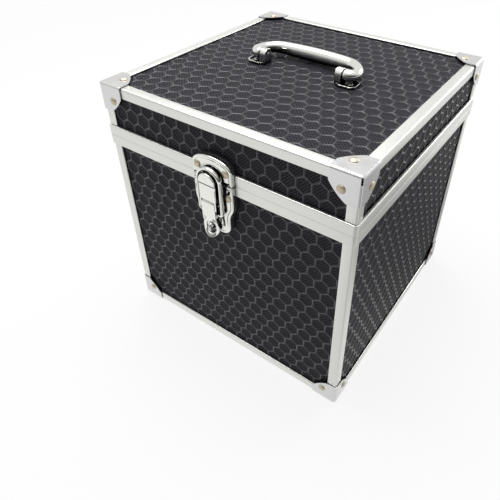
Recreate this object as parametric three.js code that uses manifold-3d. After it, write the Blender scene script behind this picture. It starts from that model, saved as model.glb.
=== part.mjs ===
// A record storage box: a board case in aluminium edging, with a hinged lid, a draw latch and a folding handle.
// Millimetres, +Z up, the front towards -Y, the origin under the middle of the whole object.
import * as THREE from "three";
import { RoundedBoxGeometry } from "three/addons/geometries/RoundedBoxGeometry.js";
import { mergeVertices } from "three/addons/utils/BufferGeometryUtils.js";
import Module from "manifold-3d";

const wasm = await Module();
wasm.setup();

// Shell, measured over the outer planes of the edge angles
const shellWidth = 225;
const shellDepth = 223.5;
const shellHeight = 230;
const lidHeight = 44.05;
const clearance = 0.3;
const overrun = 1;
const embed = 0.4;

// Edge angles and boards
const angleLeg = 8.5;
const angleSheet = 1.2;
const angleRound = 2;
const angleEndGap = 0.5;
const boardThickness = 4;

// Corner caps and their rivets
const capSheet = 0.8;
const capReach = 21.6;
const capLegWidth = 8.6;
const capBow = 42;
const capRound = 2.4;
const rivetPlace = 12.3;
const rivetRadius = 2.9;
const rivetRise = 1.2;

// Closing bands
const bandRise = 1.3;
const bandRound = 3;
const baseBandHeight = 8.75;
const lidBandHeight = 8.75;
const railSheet = 1.2;
const baseWeb = 2.25;
const lidWeb = 1.4;
const lipInset = 4.2;
const lipSheet = 1.2;
const lipRise = 2.5;
const lipHeadroom = 0.5;

// Lining and foam
const liningSheet = 2;
const foamBase = 10;
const foamPeak = 20;
const foamPitch = 27;
const foamSideGap = 1.5;

// Hinges
const hingeWidth = 40;
const hingeInset = 52.5;
const hingeLeafHeight = 9;
const hingeLeafSheet = 1.2;
const hingePinRadius = 1.2;
const knuckleWall = 1.4;
const knuckleCount = 5;

// Latch plates
const plateHalfWidth = 18.2;
const plateSheet = 3.4;
const lidPlateRise = 19.75;
const basePlateDrop = 45.95;
const basePlateShoulder = 16.95;
const basePlateWaist = 31.95;
const basePlateFootHalf = 14;
const basePlateFootRound = 8;
const lidRivetAcross = 13.05;
const lidRivetUp = 10.15;
const baseRivetAcross = 14;
const baseRivetDown = 10.35;

// Catch and housing
const latchHalfWidth = 7.2;
const latchFront = 11.7;
const latchSheet = 1.2;
const catchRise = 9.15;
const catchLip = 1.4;
const catchLipWidth = 0.9;

// Lever, its pin and ears
const leverPivotDrop = 17.1;
const leverRound = 3.2;
const leverSheet = 0.9;
const leverPinRadius = 0.9;
const leverPinReach = 1;
const leverStep = 1.5;
const leverStepDrop = 4.5;
const spoonRadius = 7.8;
const spoonNeckHalf = 5.2;
const spoonCurl = 1.9;
const spoonCurlDrop = 2.9;
const spoonSlotHalf = 4.25;
const earDrop = 22.2;
const earRound = 1.4;
const earSetback = 0.3;

// Padlock staple
const stapleDrop = 39.05;
const stapleWireRadius = 1;
const stapleEyeHeight = 4.4;
const stapleEyeDepth = 4.7;
const stapleBend = 1.8;
const stapleSwing = 1;

// Bail
const bailWireRadius = 1.3;
const bailHalfWidth = 10;
const bailArchRise = 1.25;
const bailPivotDrop = 25.55;
const bailPivotOut = 8.2;
const bailBend = 1.8;
const bailEndReach = 0.5;
const bailEyeWall = 1;

// Handle
const handlePivotRise = 6;
const handleForward = 2.4;
const handleBarRadius = 5;
const handleHalfWidth = 43.3;
const handleDepth = 26.5;
const handleBend = 17.7;
const handleBarrelRadius = 4.7;
const handleBarrelLength = 11.2;
const handleEarLength = 5.2;
const handlePinRadius = 1.6;
const handleFootLength = 13.8;
const handleFootDepth = 15;
const handleFootSheet = 1.6;
const handleFootCorner = 3.5;
const handleScrewRadius = 2.6;
const handleScrewRise = 0.3;

// Levels and planes worked out from the sizes above
const capProud = clearance + capSheet;
const shellBottom = capProud;
const shellTop = shellBottom + shellHeight;
const parting = shellTop - lidHeight;
const halfWidth = shellWidth / 2;
const halfDepth = shellDepth / 2;
const boardFace = angleSheet + clearance;
const boardBack = boardFace + boardThickness;
const linedFace = boardBack + clearance;
const railBack = linedFace + railSheet;
const angleStart = angleLeg + angleEndGap;
const halfSeam = clearance / 2;
const basePartTop = parting - halfSeam;
const lidPartBottom = parting + halfSeam;
const baseBandBottom = parting - baseBandHeight;
const lidBandTop = parting + lidBandHeight;
const baseWallTop = parting - halfSeam - baseWeb - clearance;
const lidUpperWeb = parting + lipRise + lipHeadroom;
const lidWallBottom = lidUpperWeb + lidWeb + clearance;
const knuckleBore = hingePinRadius + clearance;
const knuckleRadius = knuckleBore + knuckleWall;
const hingeFace = bandRise + clearance;
const hingeAxisOut = hingeFace + knuckleRadius;
const plateBack = bandRise + clearance;
const plateFace = plateBack + plateSheet;
const leverAxisOut = latchFront - leverRound;
const latchHollowHalf = latchHalfWidth - latchSheet;
const leverHalfWidth = latchHollowHalf - clearance;
const flangeInner = leverHalfWidth - leverSheet;
const spoonFront = latchFront - leverStep;
const stapleInnerEnd = spoonFront + stapleEyeDepth;
const frontReach = stapleInnerEnd + 2 * stapleWireRadius;
const rearReach = hingeAxisOut + knuckleRadius;

const X = new THREE.Vector3(1, 0, 0);
const Y = new THREE.Vector3(0, 1, 0);
const Z = new THREE.Vector3(0, 0, 1);

// A manifold solid from a closed geometry, with its shared vertices merged
function solid(geometry) {
  const bare = geometry.clone();
  bare.deleteAttribute("normal");
  bare.deleteAttribute("uv");
  const merged = mergeVertices(bare);
  const mesh = new wasm.Mesh({
    numProp: 3,
    vertProperties: Float32Array.from(merged.attributes.position.array),
    triVerts: Uint32Array.from(merged.index.array),
  });
  return new wasm.Manifold(mesh);
}

function geometryOf(manifold) {
  const mesh = manifold.getMesh();
  const geometry = new THREE.BufferGeometry();
  geometry.setAttribute("position", new THREE.BufferAttribute(Float32Array.from(mesh.vertProperties), 3));
  geometry.setIndex(new THREE.BufferAttribute(Uint32Array.from(mesh.triVerts), 1));
  geometry.computeVertexNormals();
  return geometry;
}

// Turns a geometry into the given directions and keeps its faces outwards, also when these mirror it
function placed(geometry, u, v, w, origin) {
  const matrix = new THREE.Matrix4().makeBasis(u, v, w).setPosition(origin);
  const result = geometry.index ? geometry.clone() : mergeVertices(geometry);
  result.applyMatrix4(matrix);
  if (matrix.determinant() < 0) {
    const corners = result.index;
    for (let i = 0; i < corners.count; i += 3) {
      const second = corners.getX(i + 1);
      corners.setX(i + 1, corners.getX(i + 2));
      corners.setX(i + 2, second);
    }
  }
  return result;
}

function block(low, high) {
  const size = new THREE.Vector3().subVectors(high, low);
  const middle = new THREE.Vector3().addVectors(low, high).multiplyScalar(1 / 2);
  return new THREE.BoxGeometry(size.x, size.y, size.z).translate(middle.x, middle.y, middle.z);
}

function slab(outline, depth, curveSegments = 8) {
  return new THREE.ExtrudeGeometry(outline, { depth, bevelEnabled: false, curveSegments });
}

// A shape extruded sideways across the latch: drawn in (out, up), centred on the middle plane
function crossSlab(outline, low, high) {
  return placed(slab(outline, high - low), Z, Y, X.clone().negate(), new THREE.Vector3(high, 0, 0));
}

function roundBar(radius, length, sides) {
  return new THREE.CylinderGeometry(radius, radius, length, sides).rotateZ(Math.PI / 2);
}

const domeEdgeShare = 0.33;
const domeShoulderShares = [0.7, 0.85];

// A domed rivet head that stands on the plane z = 0, with its foot sunk a little below it
function rivetHead(radius, rise) {
  const profile = [
    new THREE.Vector2(0, -embed),
    new THREE.Vector2(radius, -embed),
    new THREE.Vector2(radius, rise * domeEdgeShare),
    new THREE.Vector2(radius * domeShoulderShares[0], rise * domeShoulderShares[1]),
    new THREE.Vector2(0, rise),
  ];
  return new THREE.LatheGeometry(profile, 10).rotateX(Math.PI / 2);
}

function rectangle(halfX, halfY, round, Kind = THREE.Shape) {
  const outline = new Kind();
  if (round === 0) {
    outline.moveTo(-halfX, -halfY).lineTo(halfX, -halfY).lineTo(halfX, halfY).lineTo(-halfX, halfY).closePath();
    return outline;
  }
  outline.moveTo(-halfX + round, -halfY);
  outline.absarc(halfX - round, -halfY + round, round, -Math.PI / 2, 0);
  outline.absarc(halfX - round, halfY - round, round, 0, Math.PI / 2);
  outline.absarc(-halfX + round, halfY - round, round, Math.PI / 2, Math.PI);
  outline.absarc(-halfX + round, -halfY + round, round, Math.PI, 3 * Math.PI / 2);
  return outline;
}

// A route of straight runs joined by round bends, for bent bars and wires
class BentRoute extends THREE.Curve {
  constructor(corners, bend) {
    super();
    this.stretches = [];
    let start = corners[0];
    for (let i = 1; i < corners.length - 1; i += 1) {
      const into = new THREE.Vector3().subVectors(corners[i], corners[i - 1]).normalize();
      const out = new THREE.Vector3().subVectors(corners[i + 1], corners[i]).normalize();
      const turn = into.angleTo(out);
      const reach = bend * Math.tan(turn / 2);
      const from = corners[i].clone().addScaledVector(into, -reach);
      const side = out.clone().addScaledVector(into, -out.dot(into)).normalize();
      this.stretches.push({ length: from.distanceTo(start), from: start, into });
      this.stretches.push({ length: bend * turn, from, into, side, bend });
      start = corners[i].clone().addScaledVector(out, reach);
    }
    const end = corners[corners.length - 1];
    const last = new THREE.Vector3().subVectors(end, start);
    this.stretches.push({ length: last.length(), from: start, into: last.clone().normalize() });
    this.total = this.stretches.reduce((sum, stretch) => sum + stretch.length, 0);
  }

  getPoint(share, target = new THREE.Vector3()) {
    let along = share * this.total;
    let stretch = this.stretches[0];
    for (const candidate of this.stretches) {
      stretch = candidate;
      if (along <= candidate.length) break;
      if (candidate !== this.stretches[this.stretches.length - 1]) along -= candidate.length;
    }
    target.copy(stretch.from);
    if (!stretch.side) return target.addScaledVector(stretch.into, along);
    const turned = along / stretch.bend;
    target.addScaledVector(stretch.into, stretch.bend * Math.sin(turned));
    return target.addScaledVector(stretch.side, stretch.bend * (1 - Math.cos(turned)));
  }
}

function bentBar(corners, bend, radius, sides, steps) {
  const section = new THREE.Shape();
  for (let i = 0; i < sides; i += 1) {
    const angle = 2 * Math.PI * i / sides;
    if (i === 0) section.moveTo(radius, 0);
    else section.lineTo(radius * Math.cos(angle), radius * Math.sin(angle));
  }
  return new THREE.ExtrudeGeometry(section, { steps, extrudePath: new BentRoute(corners, bend) });
}

const finishes = {
  laminate: { color: 0x1b1a1e, roughness: 0.35, metalness: 0 },
  aluminium: { color: 0xdededc, roughness: 0.35, metalness: 0.9 },
  capSteel: { color: 0xc9cbcb, roughness: 0.25, metalness: 1 },
  chrome: { color: 0xe2e3e2, roughness: 0.08, metalness: 1 },
  zinc: { color: 0xb9babb, roughness: 0.4, metalness: 1 },
  backing: { color: 0x141416, roughness: 0.5, metalness: 0 },
  felt: { color: 0x17171a, roughness: 0.95, metalness: 0 },
  foam: { color: 0x1c1c1f, roughness: 1, metalness: 0 },
};

const box = new THREE.Group();
box.position.y = (frontReach - rearReach) / 2;

function add(parent, name, geometry, finish) {
  const mesh = new THREE.Mesh(geometry, new THREE.MeshStandardMaterial(finishes[finish]));
  mesh.name = name;
  parent.add(mesh);
  return mesh;
}

const corners = [
  { name: "front_left", x: -1, y: -1 },
  { name: "front_right", x: 1, y: -1 },
  { name: "back_left", x: -1, y: 1 },
  { name: "back_right", x: 1, y: 1 },
];

// Boards of one half: two full-width ones front and back, and two between them
function addWalls(prefix, low, high) {
  const outerX = halfWidth - boardFace;
  for (const [side, sign] of [["front", -1], ["back", 1]]) {
    const near = sign * (halfDepth - boardFace);
    const far = sign * (halfDepth - boardBack);
    const from = new THREE.Vector3(-outerX, Math.min(near, far), low);
    add(box, `${prefix}_panel_${side}`, block(from, new THREE.Vector3(outerX, Math.max(near, far), high)), "laminate");
  }
  const reach = halfDepth - linedFace;
  for (const [side, sign] of [["left", -1], ["right", 1]]) {
    const near = sign * (halfWidth - boardFace);
    const far = sign * (halfWidth - boardBack);
    const from = new THREE.Vector3(Math.min(near, far), -reach, low);
    add(box, `${prefix}_panel_${side}`, block(from, new THREE.Vector3(Math.max(near, far), reach, high)), "laminate");
  }
}

function addFlatBoard(name, low, high) {
  const from = new THREE.Vector3(-halfWidth + boardFace, -halfDepth + boardFace, low);
  const to = new THREE.Vector3(halfWidth - boardFace, halfDepth - boardFace, high);
  add(box, name, block(from, to), "laminate");
}

// The L section of an edge angle, drawn inwards from both of its outer planes
function angleSection() {
  const outline = new THREE.Shape();
  outline.moveTo(angleRound, 0);
  outline.lineTo(angleLeg, 0);
  outline.lineTo(angleLeg, angleSheet);
  outline.lineTo(angleSheet, angleSheet);
  outline.lineTo(angleSheet, angleLeg);
  outline.lineTo(0, angleLeg);
  outline.lineTo(0, angleRound);
  outline.absarc(angleRound, angleRound, angleRound, Math.PI, 3 * Math.PI / 2);
  return outline;
}

function addUprightAngles(prefix, low, high) {
  for (const corner of corners) {
    const origin = new THREE.Vector3(corner.x * halfWidth, corner.y * halfDepth, low);
    const inX = X.clone().multiplyScalar(-corner.x);
    const inY = Y.clone().multiplyScalar(-corner.y);
    const geometry = placed(slab(angleSection(), high - low, 3), inX, inY, Z, origin);
    add(box, `${prefix}_edge_${corner.name}`, geometry, "aluminium");
  }
}

function addLevelAngles(prefix, level, inwards) {
  const inZ = Z.clone().multiplyScalar(inwards);
  for (const [side, sign] of [["front", -1], ["back", 1]]) {
    const origin = new THREE.Vector3(-halfWidth + angleStart, sign * halfDepth, level);
    const bar = slab(angleSection(), shellWidth - 2 * angleStart, 3);
    add(box, `${prefix}_${side}`, placed(bar, Y.clone().multiplyScalar(-sign), inZ, X, origin), "aluminium");
  }
  for (const [side, sign] of [["left", -1], ["right", 1]]) {
    const origin = new THREE.Vector3(sign * halfWidth, -halfDepth + angleStart, level);
    const bar = slab(angleSection(), shellDepth - 2 * angleStart, 3);
    add(box, `${prefix}_${side}`, placed(bar, X.clone().multiplyScalar(-sign), inZ, Y, origin), "aluminium");
  }
}

// A pressed three-way cap, drawn inwards from its corner, with one rivet on each face in the list.
// Between its two legs each face ends in a shallow bow
function capGeometry(rivetFaces) {
  const size = 2 * (capReach + capRound);
  const outerMiddle = size / 2 - capProud;
  const innerMiddle = size / 2 - clearance;
  const outer = new RoundedBoxGeometry(size, size, size, 2, capRound).translate(outerMiddle, outerMiddle, outerMiddle);
  const innerRound = capRound - capSheet;
  const inner = new RoundedBoxGeometry(size, size, size, 2, innerRound).translate(innerMiddle, innerMiddle, innerMiddle);
  const outline = new THREE.Shape();
  const edge = -capProud - overrun;
  const halfChord = (capReach - capLegWidth) / Math.SQRT2;
  const bowDepth = Math.sqrt(capBow ** 2 - halfChord ** 2);
  const bowCentre = (capReach + capLegWidth) / 2 - bowDepth / Math.SQRT2;
  const spread = Math.asin(halfChord / capBow);
  outline.moveTo(edge, edge);
  outline.lineTo(capReach, edge);
  outline.absarc(bowCentre, bowCentre, capBow, Math.PI / 4 - spread, Math.PI / 4 + spread);
  outline.lineTo(edge, capReach);
  outline.closePath();
  const faces = { x: [Y, Z, X], y: [Z, X, Y], z: [X, Y, Z] };
  let reach = null;
  for (const [u, v, w] of Object.values(faces)) {
    const prism = solid(placed(slab(outline, capRound - edge, 6), u, v, w, w.clone().multiplyScalar(edge)));
    reach = reach ? reach.add(prism) : prism;
  }
  let cap = solid(outer).subtract(solid(inner)).intersect(reach);
  for (const face of rivetFaces) {
    const [u, v, w] = faces[face];
    const place = u.clone().add(v).multiplyScalar(rivetPlace).addScaledVector(w, -capProud);
    const head = placed(rivetHead(rivetRadius, rivetRise), v, u, w.clone().negate(), place);
    cap = cap.add(solid(head));
  }
  return geometryOf(cap);
}

function addCaps(prefix, level, inwards, rivetFaces) {
  const cap = capGeometry(rivetFaces);
  for (const corner of corners) {
    const origin = new THREE.Vector3(corner.x * halfWidth, corner.y * halfDepth, level);
    const inX = X.clone().multiplyScalar(-corner.x);
    const inY = Y.clone().multiplyScalar(-corner.y);
    const geometry = placed(cap, inX, inY, Z.clone().multiplyScalar(inwards), origin);
    add(box, `${prefix}_${corner.name}`, geometry, "capSteel");
  }
}

// One ring of a bent band, between two distances in from the outer planes
function ring(outerInset, innerInset, low, high, round = 0) {
  const outline = rectangle(halfWidth - outerInset, halfDepth - outerInset, round);
  outline.holes.push(rectangle(halfWidth - innerInset, halfDepth - innerInset, 0, THREE.Path));
  return solid(slab(outline, high - low, 4).translate(0, 0, low));
}

function baseRim() {
  const webBottom = basePartTop - baseWeb;
  return geometryOf(ring(-bandRise, angleSheet, baseBandBottom, basePartTop, bandRound)
    .add(ring(-bandRise, railBack, webBottom, basePartTop, bandRound))
    .add(ring(linedFace, railBack, baseBandBottom, basePartTop))
    .add(ring(lipInset, lipInset + lipSheet, webBottom, parting + lipRise)));
}

function lidRim() {
  const webTop = lidUpperWeb + lidWeb;
  return geometryOf(ring(-bandRise, angleSheet, lidPartBottom, lidBandTop, bandRound)
    .add(ring(-bandRise, lipInset - clearance, lidPartBottom, webTop, bandRound))
    .add(ring(-bandRise, railBack, lidUpperWeb, webTop, bandRound))
    .add(ring(linedFace, railBack, lidUpperWeb, lidBandTop)));
}

function liningTray() {
  const outer = new THREE.Vector3(halfWidth - linedFace, halfDepth - linedFace, baseBandBottom - clearance);
  const wall = linedFace + liningSheet;
  const inner = new THREE.Vector3(halfWidth - wall, halfDepth - wall, outer.z + overrun);
  const bottom = shellBottom + linedFace;
  const whole = block(new THREE.Vector3(-outer.x, -outer.y, bottom), outer);
  const hollow = block(new THREE.Vector3(-inner.x, -inner.y, bottom + liningSheet), inner);
  return geometryOf(solid(whole).subtract(solid(hollow)));
}

// Egg-crate foam: the depth follows cosine times cosine, four grid steps to a wave, under a flat back
function eggCrateFoam() {
  const halfX = halfWidth - linedFace - foamSideGap;
  const halfY = halfDepth - linedFace - foamSideGap;
  const back = shellTop - linedFace;
  const stepsX = 4 * Math.round(2 * halfX / foamPitch);
  const stepsY = 4 * Math.round(2 * halfY / foamPitch);
  const places = [];
  const faces = [];
  const at = (i, j) => j * (stepsX + 1) + i;
  for (let j = 0; j <= stepsY; j += 1) {
    for (let i = 0; i <= stepsX; i += 1) {
      const wave = Math.cos(i * Math.PI / 2) * Math.cos(j * Math.PI / 2);
      const depth = foamBase + foamPeak * (1 + wave) / 2;
      places.push(halfX * (2 * i / stepsX - 1), halfY * (2 * j / stepsY - 1), back - depth);
    }
  }
  for (let j = 0; j < stepsY; j += 1) {
    for (let i = 0; i < stepsX; i += 1) {
      faces.push(at(i, j), at(i + 1, j + 1), at(i + 1, j));
      faces.push(at(i, j), at(i, j + 1), at(i + 1, j + 1));
    }
  }
  const border = [];
  for (let i = 0; i < stepsX; i += 1) border.push(at(i, 0));
  for (let j = 0; j < stepsY; j += 1) border.push(at(stepsX, j));
  for (let i = stepsX; i > 0; i -= 1) border.push(at(i, stepsY));
  for (let j = stepsY; j > 0; j -= 1) border.push(at(0, j));
  const firstBack = places.length / 3;
  for (const index of border) places.push(places[3 * index], places[3 * index + 1], back);
  const middle = places.length / 3;
  places.push(0, 0, back);
  border.forEach((low, k) => {
    const next = (k + 1) % border.length;
    faces.push(low, border[next], firstBack + next, low, firstBack + next, firstBack + k);
    faces.push(middle, firstBack + k, firstBack + next);
  });
  const geometry = new THREE.BufferGeometry();
  geometry.setAttribute("position", new THREE.Float32BufferAttribute(places, 3));
  geometry.setIndex(faces);
  geometry.computeVertexNormals();
  return geometry;
}

// A hinge leaf: a plate with the knuckles of one parity; upwards is 1 for the lid's leaf and -1 for the base's
function hingeLeaf(parity, upwards) {
  const pitch = hingeWidth / knuckleCount;
  const back = halfDepth + hingeFace;
  const front = back + hingeLeafSheet;
  const near = upwards * (knuckleRadius + clearance);
  const far = upwards * (knuckleRadius + clearance + hingeLeafHeight);
  const halfX = hingeWidth / 2;
  const low = new THREE.Vector3(-halfX, back, parting + Math.min(near, far));
  const high = new THREE.Vector3(halfX, front, parting + Math.max(near, far));
  let leaf = solid(block(low, high));
  for (let i = parity; i < knuckleCount; i += 2) {
    const middle = -halfX + pitch * (i + 1 / 2);
    const length = pitch - clearance;
    const knuckle = roundBar(knuckleRadius, length, 16).translate(middle, halfDepth + hingeAxisOut, parting);
    const root = block(
      new THREE.Vector3(middle - length / 2, back, parting + Math.min(0, near + upwards * embed)),
      new THREE.Vector3(middle + length / 2, front, parting + Math.max(0, near + upwards * embed)),
    );
    leaf = leaf.add(solid(knuckle)).add(solid(root));
  }
  const bore = roundBar(knuckleBore, hingeWidth + 2 * overrun, 16);
  return geometryOf(leaf.subtract(solid(bore.translate(0, halfDepth + hingeAxisOut, parting))));
}

function addHinge(side, sign) {
  const hinge = new THREE.Group();
  hinge.position.x = sign * (halfWidth - hingeInset);
  add(hinge, `hinge_${side}_base_leaf`, hingeLeaf(0, -1), "zinc");
  add(hinge, `hinge_${side}_lid_leaf`, hingeLeaf(1, 1), "zinc");
  const pin = roundBar(hingePinRadius, hingeWidth, 12).translate(0, halfDepth + hingeAxisOut, parting);
  add(hinge, `hinge_${side}_pin`, pin, "zinc");
  box.add(hinge);
}

// The latch is drawn in (across, up, out): from the parting line, out from the shell's front plane
const latch = new THREE.Group();
latch.position.set(0, -halfDepth, parting);
latch.rotation.x = Math.PI / 2;

const archShoulderShare = 0.54;
const archHandleShare = 0.81;
const archCrownShare = 0.6;

function lidPlateOutline() {
  const shoulder = lidPlateRise * archShoulderShare;
  const handle = lidPlateRise * archHandleShare;
  const crown = plateHalfWidth * archCrownShare;
  const outline = new THREE.Shape();
  outline.moveTo(-plateHalfWidth, clearance);
  outline.lineTo(plateHalfWidth, clearance);
  outline.lineTo(plateHalfWidth, shoulder);
  outline.bezierCurveTo(plateHalfWidth, handle, crown, lidPlateRise, 0, lidPlateRise);
  outline.bezierCurveTo(-crown, lidPlateRise, -plateHalfWidth, handle, -plateHalfWidth, shoulder);
  outline.closePath();
  return outline;
}

function basePlateOutline() {
  const middle = (basePlateShoulder + basePlateWaist) / 2;
  const foot = basePlateDrop - basePlateFootRound;
  const inner = basePlateFootHalf - basePlateFootRound;
  const outline = new THREE.Shape();
  outline.moveTo(plateHalfWidth, -clearance);
  outline.lineTo(-plateHalfWidth, -clearance);
  outline.lineTo(-plateHalfWidth, -basePlateShoulder);
  outline.bezierCurveTo(-plateHalfWidth, -middle, -basePlateFootHalf, -middle, -basePlateFootHalf, -basePlateWaist);
  outline.absarc(-inner, -foot, basePlateFootRound, Math.PI, 3 * Math.PI / 2);
  outline.absarc(inner, -foot, basePlateFootRound, 3 * Math.PI / 2, 2 * Math.PI);
  outline.lineTo(basePlateFootHalf, -basePlateWaist);
  outline.bezierCurveTo(basePlateFootHalf, -middle, plateHalfWidth, -middle, plateHalfWidth, -basePlateShoulder);
  outline.closePath();
  return outline;
}

function plateWithRivets(outline, rivetX, rivetUp) {
  let plate = solid(slab(outline, plateSheet).translate(0, 0, plateBack));
  for (const sign of [-1, 1]) {
    const head = rivetHead(rivetRadius, rivetRise).translate(sign * rivetX, rivetUp, plateFace);
    plate = plate.add(solid(head));
  }
  return plate;
}

// The backing fills the space between the board and the plate, clear of the band
function backing(outline, fromBand, farEdge) {
  const back = clearance - boardFace;
  const whole = solid(slab(outline, plateBack - clearance - back).translate(0, 0, back));
  const side = plateHalfWidth + overrun;
  const low = new THREE.Vector3(-side, Math.min(fromBand, farEdge), back - overrun);
  const high = new THREE.Vector3(side, Math.max(fromBand, farEdge), plateBack);
  return geometryOf(whole.intersect(solid(block(low, high))));
}

function archedTab(half, top, depth, out) {
  const outline = new THREE.Shape();
  outline.moveTo(-half, clearance);
  outline.lineTo(half, clearance);
  outline.absarc(0, top - half, half, 0, Math.PI);
  outline.closePath();
  return solid(slab(outline, depth).translate(0, 0, out));
}

function latchLidPlate() {
  const lipBack = latchFront - catchLip;
  const stem = latchHalfWidth - catchLipWidth;
  return geometryOf(plateWithRivets(lidPlateOutline(), lidRivetAcross, lidRivetUp)
    .add(archedTab(stem, catchRise - catchLipWidth, lipBack - plateFace + 2 * embed, plateFace - embed))
    .add(archedTab(latchHalfWidth, catchRise, catchLip, lipBack)));
}

function stapleLoop() {
  const half = stapleEyeHeight / 2 + stapleWireRadius;
  const end = stapleInnerEnd + stapleWireRadius;
  const foot = plateFace - embed;
  const places = [[half, foot], [half, end], [-half, end], [-half, foot]];
  const route = places.map(([up, out]) => new THREE.Vector3(0, up - stapleDrop, out));
  return solid(bentBar(route, stapleBend, stapleWireRadius, 8, 18));
}

function latchBasePlate() {
  const housingBottom = -leverPivotDrop + leverRound + clearance;
  const foot = plateFace - embed;
  const outer = block(
    new THREE.Vector3(-latchHalfWidth, housingBottom, foot),
    new THREE.Vector3(latchHalfWidth, -clearance, latchFront),
  );
  const hollow = block(
    new THREE.Vector3(-latchHollowHalf, housingBottom - overrun, foot - overrun),
    new THREE.Vector3(latchHollowHalf, overrun, latchFront - latchSheet),
  );
  const earTop = housingBottom + embed;
  const earFront = latchFront - earSetback;
  const ear = new THREE.Shape();
  ear.moveTo(foot, earTop);
  ear.lineTo(foot, -earDrop);
  ear.absarc(earFront - earRound, earRound - earDrop, earRound, -Math.PI / 2, 0);
  ear.lineTo(earFront, earTop);
  ear.closePath();
  ear.holes.push(new THREE.Path().absarc(leverAxisOut, -leverPivotDrop, leverPinRadius + clearance, 0, 2 * Math.PI));
  return geometryOf(plateWithRivets(basePlateOutline(), baseRivetAcross, -baseRivetDown)
    .add(solid(outer).subtract(solid(hollow)))
    .add(solid(crossSlab(ear, latchHollowHalf, latchHalfWidth)))
    .add(solid(crossSlab(ear, -latchHalfWidth, -latchHollowHalf)))
    .add(stapleLoop()));
}

// The lever's sheet: its side profile extruded across, cut to its front outline
function leverFace() {
  const top = -leverPivotDrop;
  const stepStart = -bailPivotDrop - leverRound;
  const stepEnd = stepStart - leverStepDrop;
  const bottom = -stapleDrop - spoonRadius - overrun;
  const curlStart = -stapleDrop - spoonRadius + spoonCurlDrop;
  const curlSlope = spoonCurl / spoonCurlDrop;
  const curlOut = spoonFront + (curlStart - bottom) * curlSlope;
  const inner = leverRound - leverSheet;
  const side = new THREE.Shape();
  side.moveTo(latchFront, stepStart);
  side.lineTo(latchFront, top);
  side.absarc(leverAxisOut, top, leverRound, 0, Math.PI / 2);
  side.absarc(leverAxisOut, top, inner, Math.PI / 2, 0, true);
  side.lineTo(latchFront - leverSheet, stepStart);
  side.lineTo(spoonFront - leverSheet, stepEnd);
  side.lineTo(spoonFront - leverSheet, curlStart);
  side.lineTo(curlOut - leverSheet, bottom);
  side.lineTo(curlOut, bottom);
  side.lineTo(spoonFront, curlStart);
  side.lineTo(spoonFront, stepEnd);
  side.closePath();

  const meet = Math.acos(spoonNeckHalf / spoonRadius);
  const front = new THREE.Shape();
  front.moveTo(-leverHalfWidth, top + leverRound + overrun);
  front.lineTo(-leverHalfWidth, stepStart);
  front.lineTo(-spoonNeckHalf, stepEnd);
  front.absarc(0, -stapleDrop, spoonRadius, Math.PI - meet, 2 * Math.PI + meet);
  front.lineTo(spoonNeckHalf, stepEnd);
  front.lineTo(leverHalfWidth, stepStart);
  front.lineTo(leverHalfWidth, top + leverRound + overrun);
  front.closePath();

  const half = leverHalfWidth + overrun;
  const reach = latchFront + spoonCurl + 2 * overrun;
  return solid(crossSlab(side, -half, half)).intersect(solid(slab(front, reach, 9)));
}

function leverFlange() {
  const eyeRound = bailWireRadius + clearance + bailEyeWall;
  const flange = new THREE.Shape();
  flange.moveTo(latchFront, -leverPivotDrop);
  flange.absarc(leverAxisOut, -leverPivotDrop, leverRound, 0, Math.PI);
  flange.absarc(bailPivotOut, -bailPivotDrop, eyeRound, Math.PI, 3 * Math.PI / 2);
  flange.lineTo(latchFront, -bailPivotDrop - leverRound);
  flange.closePath();
  const pinHole = new THREE.Path().absarc(leverAxisOut, -leverPivotDrop, leverPinRadius + clearance, 0, 2 * Math.PI);
  const bailHole = new THREE.Path().absarc(bailPivotOut, -bailPivotDrop, bailWireRadius + clearance, 0, 2 * Math.PI);
  flange.holes.push(pinHole, bailHole);
  return flange;
}

function latchLever() {
  const loopHalf = stapleEyeHeight / 2 + 2 * stapleWireRadius;
  const slotTop = -stapleDrop + loopHalf + clearance;
  const slotBottom = -stapleDrop - loopHalf - stapleSwing;
  const slotEnd = spoonSlotHalf;
  const slot = new THREE.Shape();
  slot.absarc(0, slotTop - slotEnd, slotEnd, 0, Math.PI);
  slot.absarc(0, slotBottom + slotEnd, slotEnd, Math.PI, 2 * Math.PI);
  slot.closePath();
  const cutter = slab(slot, latchFront + spoonCurl + 2 * overrun, 6);
  return geometryOf(leverFace()
    .add(solid(crossSlab(leverFlange(), flangeInner, leverHalfWidth)))
    .add(solid(crossSlab(leverFlange(), -leverHalfWidth, -flangeInner)))
    .subtract(solid(cutter)));
}

function latchBail() {
  const reach = bailHalfWidth + bailWireRadius + overrun;
  const endX = flangeInner - bailEndReach;
  const at = (x, up) => new THREE.Vector3(x, up, bailPivotOut);
  const legTop = bailArchRise + embed;
  const half = [at(endX, -bailPivotDrop), at(bailHalfWidth, -bailPivotDrop), at(bailHalfWidth, legTop)];
  const otherHalf = half.map((place) => at(-place.x, place.y));
  const upperHalf = block(
    new THREE.Vector3(-reach, bailArchRise, 0),
    new THREE.Vector3(reach, bailArchRise + reach, 2 * bailPivotOut),
  );
  const hoop = new THREE.TorusGeometry(bailHalfWidth, bailWireRadius, 8, 28).translate(0, bailArchRise, bailPivotOut);
  return geometryOf(solid(hoop).intersect(solid(upperHalf))
    .add(solid(bentBar(half, bailBend, bailWireRadius, 8, 15)))
    .add(solid(bentBar(otherHalf, bailBend, bailWireRadius, 8, 15))));
}

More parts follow.
